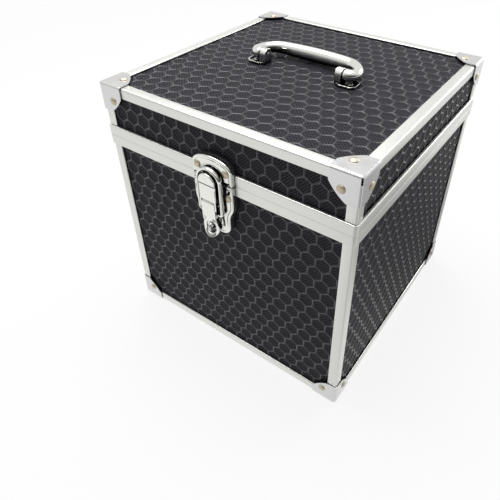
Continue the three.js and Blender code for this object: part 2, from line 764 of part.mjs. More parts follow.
function addLatch() {
  const lidEdge = lidBandHeight + clearance;
  const baseEdge = -baseBandHeight - clearance;
  add(latch, "latch_lid_plate", latchLidPlate(), "chrome");
  add(latch, "latch_lid_spacer", backing(lidPlateOutline(), lidEdge, lidPlateRise + overrun), "backing");
  add(latch, "latch_base_plate", latchBasePlate(), "chrome");
  add(latch, "latch_base_spacer", backing(basePlateOutline(), baseEdge, -basePlateDrop - overrun), "backing");
  add(latch, "latch_lever", latchLever(), "chrome");
  add(latch, "latch_bail", latchBail(), "chrome");
  const pinLength = 2 * (latchHalfWidth + leverPinReach);
  const pin = roundBar(leverPinRadius, pinLength, 10).translate(0, -leverPivotDrop, leverAxisOut);
  add(latch, "latch_lever_pin", pin, "zinc");
  box.add(latch);
}

// The handle is drawn from its pivot line, which lies across the lid, just in front of the lid's middle
const handle = new THREE.Group();
handle.position.set(0, -handleForward, shellTop + handlePivotRise);

const barrelOuter = handleHalfWidth + handleBarRadius + overrun;
const barrelInner = barrelOuter - handleBarrelLength;
const earOuterX = barrelInner - clearance;
const earInnerX = earOuterX - handleEarLength;
const footTop = -handlePivotRise - boardFace + clearance + handleFootSheet;
const footBottom = footTop - handleFootSheet;

function handleBow() {
  const route = [
    new THREE.Vector3(-handleHalfWidth, 0, 0),
    new THREE.Vector3(-handleHalfWidth, handleDepth, 0),
    new THREE.Vector3(handleHalfWidth, handleDepth, 0),
    new THREE.Vector3(handleHalfWidth, 0, 0),
  ];
  let bow = solid(bentBar(route, handleBend, handleBarRadius, 12, 26));
  const middle = (barrelOuter + barrelInner) / 2;
  for (const sign of [-1, 1]) {
    bow = bow.add(solid(roundBar(handleBarrelRadius, handleBarrelLength, 20).translate(sign * middle, 0, 0)));
    const bore = roundBar(handlePinRadius + clearance, handleBarrelLength - handlePinRadius + overrun, 12);
    const boreMiddle = (barrelInner - overrun + barrelOuter - handlePinRadius) / 2;
    bow = bow.subtract(solid(bore.translate(sign * boreMiddle, 0, 0)));
  }
  return geometryOf(bow);
}

// A bracket: a six-sided foot with a screw hole, and an ear with the pin's bore, drawn for the right side
function handleBracket() {
  const footOuter = earOuterX - embed + handleFootLength;
  const footInner = earInnerX;
  const halfY = handleFootDepth / 2;
  const foot = new THREE.Shape();
  foot.moveTo(footInner, -halfY + handleFootCorner);
  foot.lineTo(earOuterX, -halfY);
  foot.lineTo(footOuter - handleFootCorner, -halfY);
  foot.lineTo(footOuter, -halfY + handleFootCorner);
  foot.lineTo(footOuter, halfY - handleFootCorner);
  foot.lineTo(footOuter - handleFootCorner, halfY);
  foot.lineTo(earOuterX, halfY);
  foot.lineTo(footInner, halfY - handleFootCorner);
  foot.closePath();
  foot.holes.push(new THREE.Path().absarc(screwX(), 0, handleScrewRadius + clearance, 0, 2 * Math.PI));
  const ear = new THREE.Shape();
  ear.moveTo(-handleBarrelRadius, footBottom);
  ear.lineTo(handleBarrelRadius, footBottom);
  ear.absarc(0, 0, handleBarrelRadius, 0, Math.PI);
  ear.closePath();
  ear.holes.push(new THREE.Path().absarc(0, 0, handlePinRadius + clearance, 0, 2 * Math.PI));
  const origin = new THREE.Vector3(earInnerX, 0, 0);
  return geometryOf(solid(slab(foot, handleFootSheet, 4).translate(0, 0, footBottom))
    .add(solid(placed(slab(ear, handleEarLength, 10), Y, Z, X, origin))));
}

function screwX() {
  return earOuterX + handleFootLength / 2;
}

function handleScrew() {
  const profile = [
    new THREE.Vector2(0, footBottom),
    new THREE.Vector2(handleScrewRadius, footBottom),
    new THREE.Vector2(handleScrewRadius, footTop),
    new THREE.Vector2(0, footTop + handleScrewRise),
  ];
  return new THREE.LatheGeometry(profile, 14).rotateX(Math.PI / 2).translate(screwX(), 0, 0);
}

function addHandle() {
  add(handle, "handle_bow", handleBow(), "chrome");
  const bracket = handleBracket();
  const screw = handleScrew();
  const pinOuter = barrelOuter - handlePinRadius - clearance;
  const pin = roundBar(handlePinRadius, pinOuter - earInnerX, 10).translate((pinOuter + earInnerX) / 2, 0, 0);
  for (const [side, sign] of [["left", -1], ["right", 1]]) {
    const outwards = X.clone().multiplyScalar(sign);
    const origin = new THREE.Vector3();
    add(handle, `handle_bracket_${side}`, placed(bracket, outwards, Y, Z, origin), "chrome");
    add(handle, `handle_pin_${side}`, placed(pin, outwards, Y, Z, origin), "zinc");
    add(handle, `handle_screw_${side}`, placed(screw, outwards, Y, Z, origin), "zinc");
  }
  box.add(handle);
}

addWalls("base", shellBottom + linedFace, baseWallTop);
addFlatBoard("base_panel_bottom", shellBottom + boardFace, shellBottom + boardBack);
add(box, "base_rim", baseRim(), "aluminium");
addUprightAngles("base", shellBottom + angleStart, baseBandBottom - clearance);
addLevelAngles("base_edge_bottom", shellBottom, 1);
addCaps("base_cap", shellBottom, 1, ["x", "y"]);
add(box, "base_lining", liningTray(), "felt");

addWalls("lid", lidWallBottom, shellTop - linedFace);
addFlatBoard("lid_panel_top", shellTop - boardBack, shellTop - boardFace);
add(box, "lid_rim", lidRim(), "aluminium");
addUprightAngles("lid", lidBandTop + clearance, shellTop - angleStart);
addLevelAngles("lid_edge_top", shellTop, -1);
addCaps("lid_cap", shellTop, -1, ["x", "y", "z"]);
add(box, "lid_foam", eggCrateFoam(), "foam");

addHinge("left", -1);
addHinge("right", 1);
addLatch();
addHandle();

export default box;
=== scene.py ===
# %% [markdown]
# # A record storage box
# A cube of black board, held together by aluminium edging and steel corner caps. This notebook dresses
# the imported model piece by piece: boards with real raised hexagons, drawn edge profiles, pressed caps,
# chrome fittings, felt and foam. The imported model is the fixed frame, so every piece goes exactly where
# it says.

import bmesh
import bpy
import numpy as np
from mathutils import Matrix, Vector


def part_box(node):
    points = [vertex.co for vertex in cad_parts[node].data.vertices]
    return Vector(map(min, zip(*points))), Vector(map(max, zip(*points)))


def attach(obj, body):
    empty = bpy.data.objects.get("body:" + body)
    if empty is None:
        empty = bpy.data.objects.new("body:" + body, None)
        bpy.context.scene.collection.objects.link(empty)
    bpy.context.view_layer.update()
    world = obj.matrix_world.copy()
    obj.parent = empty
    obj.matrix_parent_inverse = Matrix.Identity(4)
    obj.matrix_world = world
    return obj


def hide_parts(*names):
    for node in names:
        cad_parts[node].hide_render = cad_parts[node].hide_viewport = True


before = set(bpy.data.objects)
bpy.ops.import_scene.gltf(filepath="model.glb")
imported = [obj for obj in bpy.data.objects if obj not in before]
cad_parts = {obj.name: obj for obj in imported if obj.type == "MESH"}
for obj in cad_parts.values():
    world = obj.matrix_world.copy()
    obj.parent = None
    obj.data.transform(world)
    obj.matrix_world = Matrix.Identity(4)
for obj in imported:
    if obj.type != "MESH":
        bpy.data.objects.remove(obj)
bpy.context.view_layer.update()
MM = 0.001
print("nodes in the frame:", len(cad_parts))

# %% [markdown]
# ## Where things are
# All sizes are in millimetres until a mesh is written. The shell's outer planes, the parting line between
# base and lid, and the latch's origin are read off the frame's own nodes, so nothing is fitted by hand.

# %% Planes of the shell, read from the frame


def node_box(name):
    """Lowest and highest corner of a node, in millimetres."""
    low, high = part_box(name)
    return np.array(low) / MM, np.array(high) / MM


CLEARANCE = 0.3
angle_low, angle_high = node_box("base_edge_front_left")
shell_left, shell_front = angle_low[0], angle_low[1]
angle_low, angle_high = node_box("base_edge_back_right")
shell_right, shell_back = angle_high[0], angle_high[1]
shell_bottom = node_box("base_edge_bottom_front")[0][2]
shell_top = node_box("lid_edge_top_front")[1][2]
base_band_low, base_band_high = node_box("base_rim")
lid_band_low, lid_band_high = node_box("lid_rim")
parting = lid_band_low[2] - CLEARANCE / 2
half_width = (shell_right - shell_left) / 2
half_depth = (shell_back - shell_front) / 2
middle_y = (shell_front + shell_back) / 2
print(f"shell {2 * half_width:.1f} x {2 * half_depth:.1f} mm, parting at {parting:.1f} mm")

# %% Directions, and each outer plane as (sign, place) by its name
X, Y, Z = (1, 0, 0), (0, 1, 0), (0, 0, 1)
BACKWARD_X, BACKWARD_Y, DOWN = (-1, 0, 0), (0, -1, 0), (0, 0, -1)
hands = {"left": (-1, shell_left), "right": (1, shell_right)}
ends = {"front": (-1, shell_front), "back": (1, shell_back)}
halves = {"base": (-1, shell_bottom), "lid": (1, shell_top)}
planes = {name: round(float(plane), 2) for name, (_, plane) in {**hands, **ends, **halves}.items()}
print("outer planes:", planes)

# %% [markdown]
# ## Helpers
# A shape here is an array of points on a grid: a section carried along a path, or an outline stepped
# inwards. One function joins such rings into a closed mesh, and one puts the mesh into the scene and says
# which body it rides on.

# %% Lines and sections
TINY, SMALLEST_TURN, SHARPEST_TURN = 1e-9, 1e-6, 0.2


def unit(vectors):
    """Each vector over its own length."""
    return vectors / np.maximum(np.linalg.norm(vectors, axis=-1, keepdims=True), TINY)


def circle(sides, start=0):
    """The unit circle: (cos t, sin t) at even steps from a start in degrees."""
    angles = np.radians(start + np.arange(sides) * 360 / sides)
    return np.stack([np.cos(angles), np.sin(angles)], -1)


def arc(centre, radius, start, end, steps=10):
    """Points of an arc, centre + radius (cos t, sin t), from start to end in degrees."""
    angles = np.radians(np.linspace(start, end, steps + 1))
    return np.array(centre) + radius * np.stack([np.cos(angles), np.sin(angles)], -1)


def bezier(p0, p1, p2, p3, steps=10):
    """Points of a cubic curve, without its end."""
    t = np.linspace(0, 1, steps, endpoint=False)[:, None]
    p0, p1, p2, p3 = (np.array(p, float) for p in (p0, p1, p2, p3))
    return (1 - t) ** 3 * p0 + 3 * (1 - t) ** 2 * t * p1 + 3 * (1 - t) * t ** 2 * p2 + t ** 3 * p3


def filleted(corners, radii, steps=5, closed=True):
    """Rounds a route: each corner becomes the arc of its radius that touches both of its sides."""
    corners = np.asarray(corners, float)
    radii = np.broadcast_to(np.asarray(radii, float), len(corners))
    before = unit(np.roll(corners, 1, 0) - corners)
    after = unit(np.roll(corners, -1, 0) - corners)
    half = np.arccos(np.clip((before * after).sum(1), -1, 1)) / 2
    reach = (radii / np.tan(half))[:, None]
    centre = corners + unit(before + after) * (radii / np.sin(half))[:, None]
    first = corners + before * reach - centre
    last = corners + after * reach - centre
    turn = np.maximum(np.pi - 2 * half, SMALLEST_TURN)[:, None, None]
    share = np.linspace(0, 1, steps + 1)[None, :, None]
    arcs = np.sin((1 - share) * turn) * first[:, None] + np.sin(share * turn) * last[:, None]
    points = centre[:, None] + arcs / np.sin(turn)
    if closed:
        return points.reshape(-1, corners.shape[1])
    inner = points[1:-1].reshape(-1, corners.shape[1])
    return np.concatenate([corners[:1], inner, corners[-1:]])


def spaced(route, step):
    """Points along a route at even steps, with its own corners left out."""
    lengths = np.linalg.norm(np.diff(route, axis=0), axis=1)
    along = np.concatenate([[0], np.cumsum(lengths)])
    places = np.linspace(0, along[-1], max(2, int(round(along[-1] / step)) + 1))
    return np.stack([np.interp(places, along, route[:, axis]) for axis in range(route.shape[1])], 1)


def stepped_in(outline, inset):
    """Moves each point of a closed outline, drawn anticlockwise, inwards by the inset: along the mean of
    its two sides' normals, over half that mean's squared length, which is never taken below a sharp
    turn's."""
    edges = outline - np.roll(outline, 1, 0)
    normals = unit(np.stack([-edges[:, 1], edges[:, 0]], -1))
    mean = normals + np.roll(normals, -1, 0)
    size = (mean ** 2).sum(1, keepdims=True) / 2
    return outline + inset * mean / np.maximum(size, SHARPEST_TURN)


def lifted(points, height):
    """Gives flat points their third coordinate."""
    return np.column_stack([points, np.full(len(points), height)])


def raised(outline, steps):
    """Rings over an outline: for each (inset, height), the outline stepped in and lifted."""
    return [lifted(stepped_in(outline, inset), height) for inset, height in steps]


# %% Meshes from rings and grids


def grid_quads(rows, columns, start=0):
    """Quads between the neighbours of a grid of points that is written row by row."""
    r, c = np.meshgrid(np.arange(rows - 1), np.arange(columns - 1), indexing="ij")
    corner = start + r * columns + c
    return np.stack([corner, corner + 1, corner + columns + 1, corner + columns], -1).reshape(-1, 4)


def blank_map(faces):
    """A map of zeros, for a piece whose material doesn't follow one."""
    return np.zeros((sum(map(len, faces)), 2))


def loft(rings, closed=False):
    """Joins M rings of N points: quads between neighbouring rings, and one flat face at each open end."""
    rings = np.asarray(rings, float)
    count, around = rings.shape[:2]
    rows = np.arange(count if closed else count - 1)[:, None]
    columns = np.arange(around)[None, :]
    here, there = rows * around, (rows + 1) % count * around
    beside = (columns + 1) % around
    quads = np.stack([here + columns, here + beside, there + beside, there + columns], -1).reshape(-1, 4)
    lengths = np.linalg.norm(np.diff(rings, axis=0, append=rings[:1]), axis=2).max(1)
    along = np.concatenate([[0], np.cumsum(lengths)])
    widths = np.linalg.norm(np.roll(rings, -1, 1) - rings, axis=2).max(0)
    across = np.concatenate([[0], np.cumsum(widths)])
    row_grid, column_grid = np.broadcast_arrays(rows, columns)
    corners = [(0, 0), (0, 1), (1, 1), (1, 0)]
    uv = np.stack([np.stack([along[row_grid + r], across[column_grid + c]], -1) for r, c in corners], 2)
    faces = quads.tolist()
    uv = uv.reshape(-1, 2)
    if not closed:
        last = (count - 1) * around
        faces.append(list(range(around))[::-1])
        faces.append([last + i for i in range(around)])
        uv = np.concatenate([uv, np.zeros((2 * around, 2))])
    return rings.reshape(-1, 3), faces, uv


def join(*parts):
    """Puts several (points, faces, uv) meshes into one."""
    points, faces, uvs, start = [], [], [], 0
    for part_points, part_faces, part_uv in parts:
        points.append(part_points)
        uvs.append(part_uv)
        faces += [[start + i for i in face] for face in part_faces]
        start += len(part_points)
    return np.concatenate(points), faces, np.concatenate(uvs)


# %% Pieces
SOFT_TURN, PLATE_TURN, BAR_TURN, FILM_TURN = 35, 40, 50, 60
MERGE, FINE_MERGE = 0.004, 0.0001
FINE = {"sharp": PLATE_TURN, "merge": FINE_MERGE}
finishes = {}


def piece(name, shape, body, slot, replaces=(), material=None, sharp=SOFT_TURN, merge=MERGE):
    """Writes one piece: points in millimetres, faces and a map in millimetres. Points closer than merge
    become one, edges that turn by more than sharp degrees stay sharp, and the slot names the finish."""
    points, faces, uv = shape
    mesh = bpy.data.meshes.new(name)
    mesh.from_pydata((np.asarray(points) * MM).tolist(), [], faces)
    mesh.uv_layers.new(name="grain").data.foreach_set("uv", np.asarray(uv, np.float32).ravel())
    work = bmesh.new()
    work.from_mesh(mesh)
    bmesh.ops.remove_doubles(work, verts=work.verts, dist=merge * MM)
    bmesh.ops.recalc_face_normals(work, faces=work.faces)
    return finish_piece(name, mesh, work, body, replaces, material or finishes[slot], sharp)


def finish_piece(name, mesh, work, body, replaces, material, sharp):
    """Closes the mesh and puts it into the scene: the body it rides on, and the nodes it
    replaces."""
    work.to_mesh(mesh)
    work.free()
    mesh.shade_smooth()
    mesh.set_sharp_from_angle(angle=np.radians(sharp))
    mesh.materials.append(material)
    made = bpy.data.objects.new(name, mesh)
    bpy.context.scene.collection.objects.link(made)
    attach(made, body)
    if replaces:
        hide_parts(*replaces)
    return made


# %% [markdown]
# ## Camera, light and floor
# The camera was fitted to the corners of the box in the photograph. The photograph is cut off-centre, and
# the lens shift reproduces that. The light is one wide soft panel above, a weaker one behind at the
# right, and a dim world. To the camera, the world and the far floor are white, as in a studio. What
# mirrors see of the world is brighter on one side, so that chrome has light and dark to show its shape.

# %% Camera
PHOTO_PIXELS = 500
SENSOR = 36.0
FOCAL_PIXELS = 493.98
PRINCIPAL = (283.71, 205.61)
EYE = np.array([205.60, -327.35 + middle_y, 387.07 + shell_bottom])
FORWARD = Vector((-0.44636, 0.65519, -0.60951))
RIGHT = Vector((0.82260, 0.56855, 0.00875))

lens = bpy.data.cameras.new("camera")
lens.sensor_width = SENSOR
lens.lens = FOCAL_PIXELS / PHOTO_PIXELS * SENSOR
lens.shift_x = (PHOTO_PIXELS / 2 - PRINCIPAL[0]) / PHOTO_PIXELS
lens.shift_y = (PRINCIPAL[1] - PHOTO_PIXELS / 2) / PHOTO_PIXELS
camera = bpy.data.objects.new("camera", lens)
bpy.context.scene.collection.objects.link(camera)
forward = FORWARD.normalized()
right = (RIGHT - forward * RIGHT.dot(forward)).normalized()
up = right.cross(forward)
turn = Matrix((right, up, -forward)).transposed().to_4x4()
camera.matrix_world = Matrix.Translation(Vector(EYE * MM)) @ turn
bpy.context.scene.camera = camera
bpy.context.scene.view_settings.view_transform = "Standard"
print(f"lens {lens.lens:.2f} mm, shift {lens.shift_x:.4f} {lens.shift_y:.4f}")

# %% Nodes and colours


def linear(code):
    """Turns an sRGB hex colour into the linear values that shaders use, by the sRGB standard's own
    curve."""
    srgb = np.array([int(code[i:i + 2], 16) / 255 for i in (1, 3, 5)])
    low = srgb / 12.92
    high = ((srgb + 0.055) / 1.055) ** 2.4
    return (*np.where(srgb <= 0.04045, low, high), 1.0)


def add_node(tree, kind, inputs=None, **settings):
    """Adds a node. Settings are its properties; an input is a value, or a (node, output) pair to link."""
    made = tree.nodes.new(f"ShaderNode{kind}")
    for name, value in settings.items():
        setattr(made, name, value)
    for name, value in (inputs or {}).items():
        if isinstance(value, tuple) and isinstance(value[0], bpy.types.Node):
            tree.links.new(value[0].outputs[value[1]], made.inputs[name])
        else:
            made.inputs[name].default_value = value
    return made


def new_material(name):
    """An empty material and its node tree."""
    material = bpy.data.materials.new(name)
    material.use_nodes = True
    material.node_tree.nodes.clear()
    return material, material.node_tree


def seen_straight(tree):
    """1 for rays from the camera, also through glass."""
    path = add_node(tree, "LightPath")
    pair = {0: (path, "Is Camera Ray"), 1: (path, "Is Transmission Ray")}
    return add_node(tree, "Math", pair, operation="MAXIMUM"), path


# %% World
WORLD_LIGHT = 0.24
BRIGHT_SIDE = (-0.45, 0.6, 0.95)
DIM_UP_TO, BRIGHT_FROM = -0.45, 0.4

world = bpy.data.worlds.new("studio")
world.use_nodes = True
bpy.context.scene.world = world
tree = world.node_tree
tree.nodes.clear()
straight, path = seen_straight(tree)
place = add_node(tree, "TexCoord")
facing = add_node(tree, "VectorMath", {0: (place, "Generated"), 1: BRIGHT_SIDE}, operation="DOT_PRODUCT")
limits = {"Value": (facing, "Value"), "From Min": DIM_UP_TO, "From Max": BRIGHT_FROM}
bright = add_node(tree, "MapRange", limits, interpolation_type="SMOOTHSTEP")
colours = {0: (bright, 0), 6: linear("#403e3a"), 7: linear("#f2f2f0")}
mirror = add_node(tree, "Mix", colours, data_type="RGBA")
mirrored = add_node(tree, "Background", {"Color": (mirror, 2), "Strength": 1.0})
soft = add_node(tree, "Background", {"Color": linear("#f4f6f8"), "Strength": WORLD_LIGHT})
white = add_node(tree, "Background", {"Color": linear("#ffffff"), "Strength": 1.0})
lit = add_node(tree, "MixShader", {0: (path, "Is Glossy Ray"), 1: (soft, 0), 2: (mirrored, 0)})
mixed = add_node(tree, "MixShader", {0: (straight, 0), 1: (lit, 0), 2: (white, 0)})
add_node(tree, "OutputWorld", {"Surface": (mixed, 0)})
print("world light:", WORLD_LIGHT)

# %% [markdown]
# Metal reflects painted shade on the floor, so that its edges stand out: two soft dark patches that only
# reflections see, one on the camera's side and one to the right of the box. To the camera the floor turns
# pure white further off, so it has no horizon; near the box it keeps its shadow.

# %% Floor
NEAR_WHITE = ((0.0, 0.0), 0.35, 1.8, 0.85)
# Patches of painted shade on the floor for reflections: (centre, near, far, level) in metres
FRONT_SHADE_PATCH = ((0.42, -0.38), 0.16, 0.5, 0.5)
SIDE_SHADE_PATCH = ((0.24, 0.16), 0.06, 0.24, 0.45)
FLOOR_HALF, FLOOR_LEVEL = 6.0, -0.0001


def distance_ramp(tree, place, ramp):
    """Falls smoothly from 1 beyond the far distance to the given level within the near one, in
    metres."""
    (x, y), near, far, level = ramp
    gap = add_node(tree, "VectorMath", {0: (place, "Position"), 1: (x, y, 0.0)}, operation="DISTANCE")
    limits = {"Value": (gap, "Value"), "From Min": near, "From Max": far, "To Min": level, "To Max": 1.0}
    return add_node(tree, "MapRange", limits, interpolation_type="SMOOTHSTEP")


floor_material, tree = new_material("matt white studio floor")
straight, path = seen_straight(tree)
place = add_node(tree, "NewGeometry")
# Painted shade on the floor, which only reflections see: darker near two points
front_shade, side_shade = (distance_ramp(tree, place, ramp) for ramp in (FRONT_SHADE_PATCH, SIDE_SHADE_PATCH))
painted_floor_shade = add_node(tree, "Math", {0: (front_shade, 0), 1: (side_shade, 0)}, operation="MULTIPLY")
matt = add_node(tree, "BsdfDiffuse", {"Color": linear("#f6f6f5")})
glow = add_node(tree, "Emission", {"Color": linear("#ffffff"), "Strength": 1.0})
mirrored = add_node(tree, "Emission", {"Color": linear("#fcfcfb"), "Strength": (painted_floor_shade, 0)})
whiteness = distance_ramp(tree, place, NEAR_WHITE)
share = add_node(tree, "Math", {0: (straight, 0), 1: (whiteness, 0)}, operation="MULTIPLY")
seen = add_node(tree, "MixShader", {0: (share, 0), 1: (matt, 0), 2: (glow, 0)})
mixed = add_node(tree, "MixShader", {0: (path, "Is Glossy Ray"), 1: (seen, 0), 2: (mirrored, 0)})
add_node(tree, "OutputMaterial", {"Surface": (mixed, 0)})

floor_mesh = bpy.data.meshes.new("floor")
square = ((-1, -1), (1, -1), (1, 1), (-1, 1))
floor_mesh.from_pydata([(x * FLOOR_HALF, y * FLOOR_HALF, FLOOR_LEVEL) for x, y in square], [], [(0, 1, 2, 3)])
floor_mesh.materials.append(floor_material)
floor = bpy.data.objects.new("floor", floor_mesh)
bpy.context.scene.collection.objects.link(floor)
print("floor:", 2 * FLOOR_HALF, "m wide")

# %% Lamps
OVERHEAD = {"place": (-0.3, 0.1, 1.5), "aim": (0, 0, 0.12), "size": 1.2, "power": 24}
BEHIND = {"place": (0.5, 1.5, 0.5), "aim": (0.1, 0, 0.12), "size": 0.8, "power": 8}


def softbox(name, place, aim, size, power):
    """A square soft light at place, turned towards aim, in metres and watts."""
    data = bpy.data.lights.new(name, "AREA")
    data.size = size
    data.energy = power
    lamp = bpy.data.objects.new(name, data)
    lamp.location = place
    lamp.rotation_euler = (Vector(aim) - Vector(place)).to_track_quat("-Z", "Y").to_euler()
    bpy.context.scene.collection.objects.link(lamp)


softbox("overhead panel", **OVERHEAD)
softbox("back panel", **BEHIND)
print("lamps placed")

# %% [markdown]
# ## Materials
# Each material starts from what the real one is. Metals reflect the white studio, so their colour is
# close to that of the clean metal, and what tells them apart is roughness. Fine grain is drawn on the
# piece's own map, in millimetres, so that it follows each bar.

# %% Laminate: black film with hatched cells
HATCH_PERIOD, HATCH_DEPTH = 2.7, 0.1
HATCH_DARK, HATCH_LIGHT = -0.6, 0.7
TOOTH_SCALE, TOOTH_SHARE, FILM_RELIEF = 2.2, 0.6, 0.6
WEAR_SCALE = 0.05
CELL_DULL, RIB_DULL = 0.55, 0.09
CELL_GLOSS, RIB_GLOSS = 0.08, 0.46


def laminate_film():
    """Embossed PVC film: near-black. Cells are matt, with a fine diagonal mesh: a sine wave across times
    a sine wave upwards gives staggered points. The ribs are rubbed smooth, so they glint, most of all
    seen edge on."""
    material, tree = new_material("embossed PVC film")
    grain = add_node(tree, "UVMap", uv_map="grain")
    axes = add_node(tree, "SeparateXYZ", {0: (grain, 0)})
    turns = [
        add_node(tree, "Math", {0: (axes, axis), 1: 2 * np.pi / HATCH_PERIOD}, operation="MULTIPLY")
        for axis in ("X", "Y")
    ]
    waves = [add_node(tree, "Math", {0: (angle, 0)}, operation="SINE") for angle in turns]
    hatch = add_node(tree, "Math", {0: (waves[0], 0), 1: (waves[1], 0)}, operation="MULTIPLY")
    rib = add_node(tree, "Attribute", attribute_name="rib")
    cell = add_node(tree, "Math", {0: 1.0, 1: (rib, "Fac")}, operation="SUBTRACT")
    masked = add_node(tree, "Math", {0: (hatch, 0), 1: (cell, 0)}, operation="MULTIPLY")
    tooth = add_node(tree, "TexNoise", {"Vector": (grain, 0), "Scale": TOOTH_SCALE, "Detail": 3.0})
    height = add_node(tree, "Math", {0: (tooth, 0), 1: TOOTH_SHARE, 2: (masked, 0)}, operation="MULTIPLY_ADD")
    relief = {"Strength": FILM_RELIEF, "Distance": HATCH_DEPTH * MM, "Height": (height, 0)}
    bump = add_node(tree, "Bump", relief)
    lines = add_node(tree, "MapRange", {"Value": (hatch, 0), "From Min": HATCH_DARK, "From Max": HATCH_LIGHT})
    tones = {0: (lines, 0), 6: linear("#0b0a0e"), 7: linear("#403e45")}
    hatched = add_node(tree, "Mix", tones, data_type="RGBA")
    wear = add_node(tree, "TexNoise", {"Vector": (grain, 0), "Scale": WEAR_SCALE, "Detail": 2.0})
    tones = {0: (wear, 0), 6: linear("#1f1e23"), 7: linear("#38363c")}
    rubbed = add_node(tree, "Mix", tones, data_type="RGBA")
    shade = add_node(tree, "Mix", {0: (rib, "Fac"), 6: (hatched, 2), 7: (rubbed, 2)}, data_type="RGBA")
    dull, gloss = (
        add_node(tree, "MapRange", {"Value": (rib, "Fac"), "To Min": in_cell, "To Max": on_rib})
        for in_cell, on_rib in ((CELL_DULL, RIB_DULL), (CELL_GLOSS, RIB_GLOSS))
    )
    look = {"Base Color": (shade, 2), "Roughness": (dull, 0), "Normal": (bump, 0)}
    surface = add_node(tree, "BsdfPrincipled", {**look, "Specular IOR Level": (gloss, 0)})
    add_node(tree, "OutputMaterial", {"Surface": (surface, 0)})
    return material


finishes["laminate"] = laminate_film()
print("film:", finishes["laminate"].name)

# %% Aluminium, steel, chrome, brass, plastic, felt and foam
# Painted shade: the dark colour that metals take close to other pieces
PAINTED_SHADE = linear("#2c2d30")
LINE_STRETCH = 0.012
NOISE_LOW, NOISE_HIGH = 0.3, 0.7
METAL = {"metallic": 1.0, "shade": 0.93, "relief": 0.4, "noise": {"Detail": 4.0, "Roughness": 0.6}}
MATT = {"metallic": 0.0, "shade": 0.55, "relief": 0.7, "noise": {"Detail": 5.0, "Roughness": 0.7}}
SHEEN_DULL = 0.6


def stuff(
    kind, name, code, roughness, scale, depth=0.0, spread=0.0, drawn=False, shade_reach=0.0, shade_shares=(0.3, 0.8),
    sheen=0.0,
):
    """A material with noise in patches of a real scale in mm. Its colour goes from the kind's shade of it to
    the whole, its roughness wanders by spread, and its relief is depth mm. Drawn metal has the noise on the
    piece's own map, in long lines. Painted shade: within the shade reach, in mm, of other pieces the colour
    darkens, wholly at the first of the two open shares and not at all at the second."""
    material, tree = new_material(name)
    if drawn:
        place, size = (add_node(tree, "UVMap", uv_map="grain"), 0), (LINE_STRETCH / scale, 1 / scale, 1.0)
    else:
        place, size = (add_node(tree, "TexCoord"), "Object"), (1 / (scale * MM),) * 3
    stretch = add_node(tree, "Mapping", {"Vector": place, "Scale": size})
    noise = add_node(tree, "TexNoise", {"Vector": (stretch, 0), "Scale": 1.0, **kind["noise"]})
    base = np.array(linear(code))
    dark = tuple(np.append(base[:3] * kind["shade"], 1.0))
    tint = add_node(tree, "Mix", {0: (noise, 0), 6: dark, 7: tuple(base)}, data_type="RGBA")
    # Painted shade: near other pieces the colour darkens, where shade falls in crevices and under parts
    if shade_reach:
        open_share = add_node(tree, "AmbientOcclusion", {"Distance": shade_reach * MM}, samples=8)
        limits = {"Value": (open_share, "AO"), "From Min": shade_shares[0], "From Max": shade_shares[1]}
        unshaded = add_node(tree, "MapRange", limits)
        tint = add_node(tree, "Mix", {0: (unshaded, 0), 6: PAINTED_SHADE, 7: (tint, 2)}, data_type="RGBA")
    inputs = {"Base Color": (tint, 2), "Metallic": kind["metallic"], "Roughness": roughness}
    if spread:
        limits = {"Value": (noise, 0), "From Min": NOISE_LOW, "From Max": NOISE_HIGH}
        limits.update({"To Min": roughness - spread, "To Max": roughness + spread})
        inputs["Roughness"] = (add_node(tree, "MapRange", limits), 0)
    if depth:
        relief = {"Strength": kind["relief"], "Distance": depth * MM, "Height": (noise, 0)}
        inputs["Normal"] = (add_node(tree, "Bump", relief), 0)
    if sheen:
        inputs.update({"Sheen Weight": sheen, "Sheen Roughness": SHEEN_DULL})
    surface = add_node(tree, "BsdfPrincipled", inputs)
    add_node(tree, "OutputMaterial", {"Surface": (surface, 0)})
    return material


# Satin anodised aluminium, drawn through a die: long faint lines, a soft wide sheen
finishes["aluminium"] = stuff(
    METAL, "satin anodised aluminium", "#e3e3e0", roughness=0.36, spread=0.05, scale=0.35, depth=0.012,
    drawn=True,
)
# Nickel plated steel sheet, pressed: smooth, slightly cloudy over about a centimetre, with painted shade
# round its rivets and along the edging
finishes["cap_steel"] = stuff(
    METAL, "nickel plated pressed steel", "#dbdbdc", roughness=0.26, spread=0.04, scale=9.0, shade_reach=1.6,
)
# Bright chrome on polished zinc: almost a mirror, with faint orange peel, and painted shade within
# 8 mm of other pieces, in the latch's gaps
finishes["chrome"] = stuff(
    METAL, "bright chrome plate", "#ebece7", roughness=0.07, spread=0.025, scale=3.0, depth=0.006,
    shade_reach=8.0,
)
# The same chrome on the handle, smoother, with painted shade up to 16 mm from other pieces: it darkens
# the underside that lies close over the black board
handle_chrome = stuff(
    METAL, "bright chrome plate on the handle", "#ebece7", roughness=0.035, spread=0.01, scale=3.0,
    depth=0.004, shade_reach=16.0, shade_shares=(0.62, 0.76),
)
# Zinc plated steel, barrel finished: a dull even grey
finishes["zinc"] = stuff(
    METAL, "zinc plated steel", "#c3c5c6", roughness=0.38, spread=0.06, scale=2.0, depth=0.01,
)
# Pale brass plate on domed rivets: warm, tumbled dull, with painted shade round each rivet's rim
finishes["fastener"] = stuff(
    METAL, "pale brass plate", "#cbc0aa", roughness=0.45, spread=0.05, scale=1.5, depth=0.004, shade_reach=2.2,
)
# Moulded ABS with a fine spark-eroded grain
finishes["backing"] = stuff(MATT, "moulded black ABS", "#26262a", roughness=0.4, scale=0.8, depth=0.12)
# Needled felt: short fibres that scatter light, so it looks soft and deep black
felt = stuff(MATT, "black needled felt", "#222226", roughness=0.95, scale=0.7, depth=0.15, sheen=0.25)
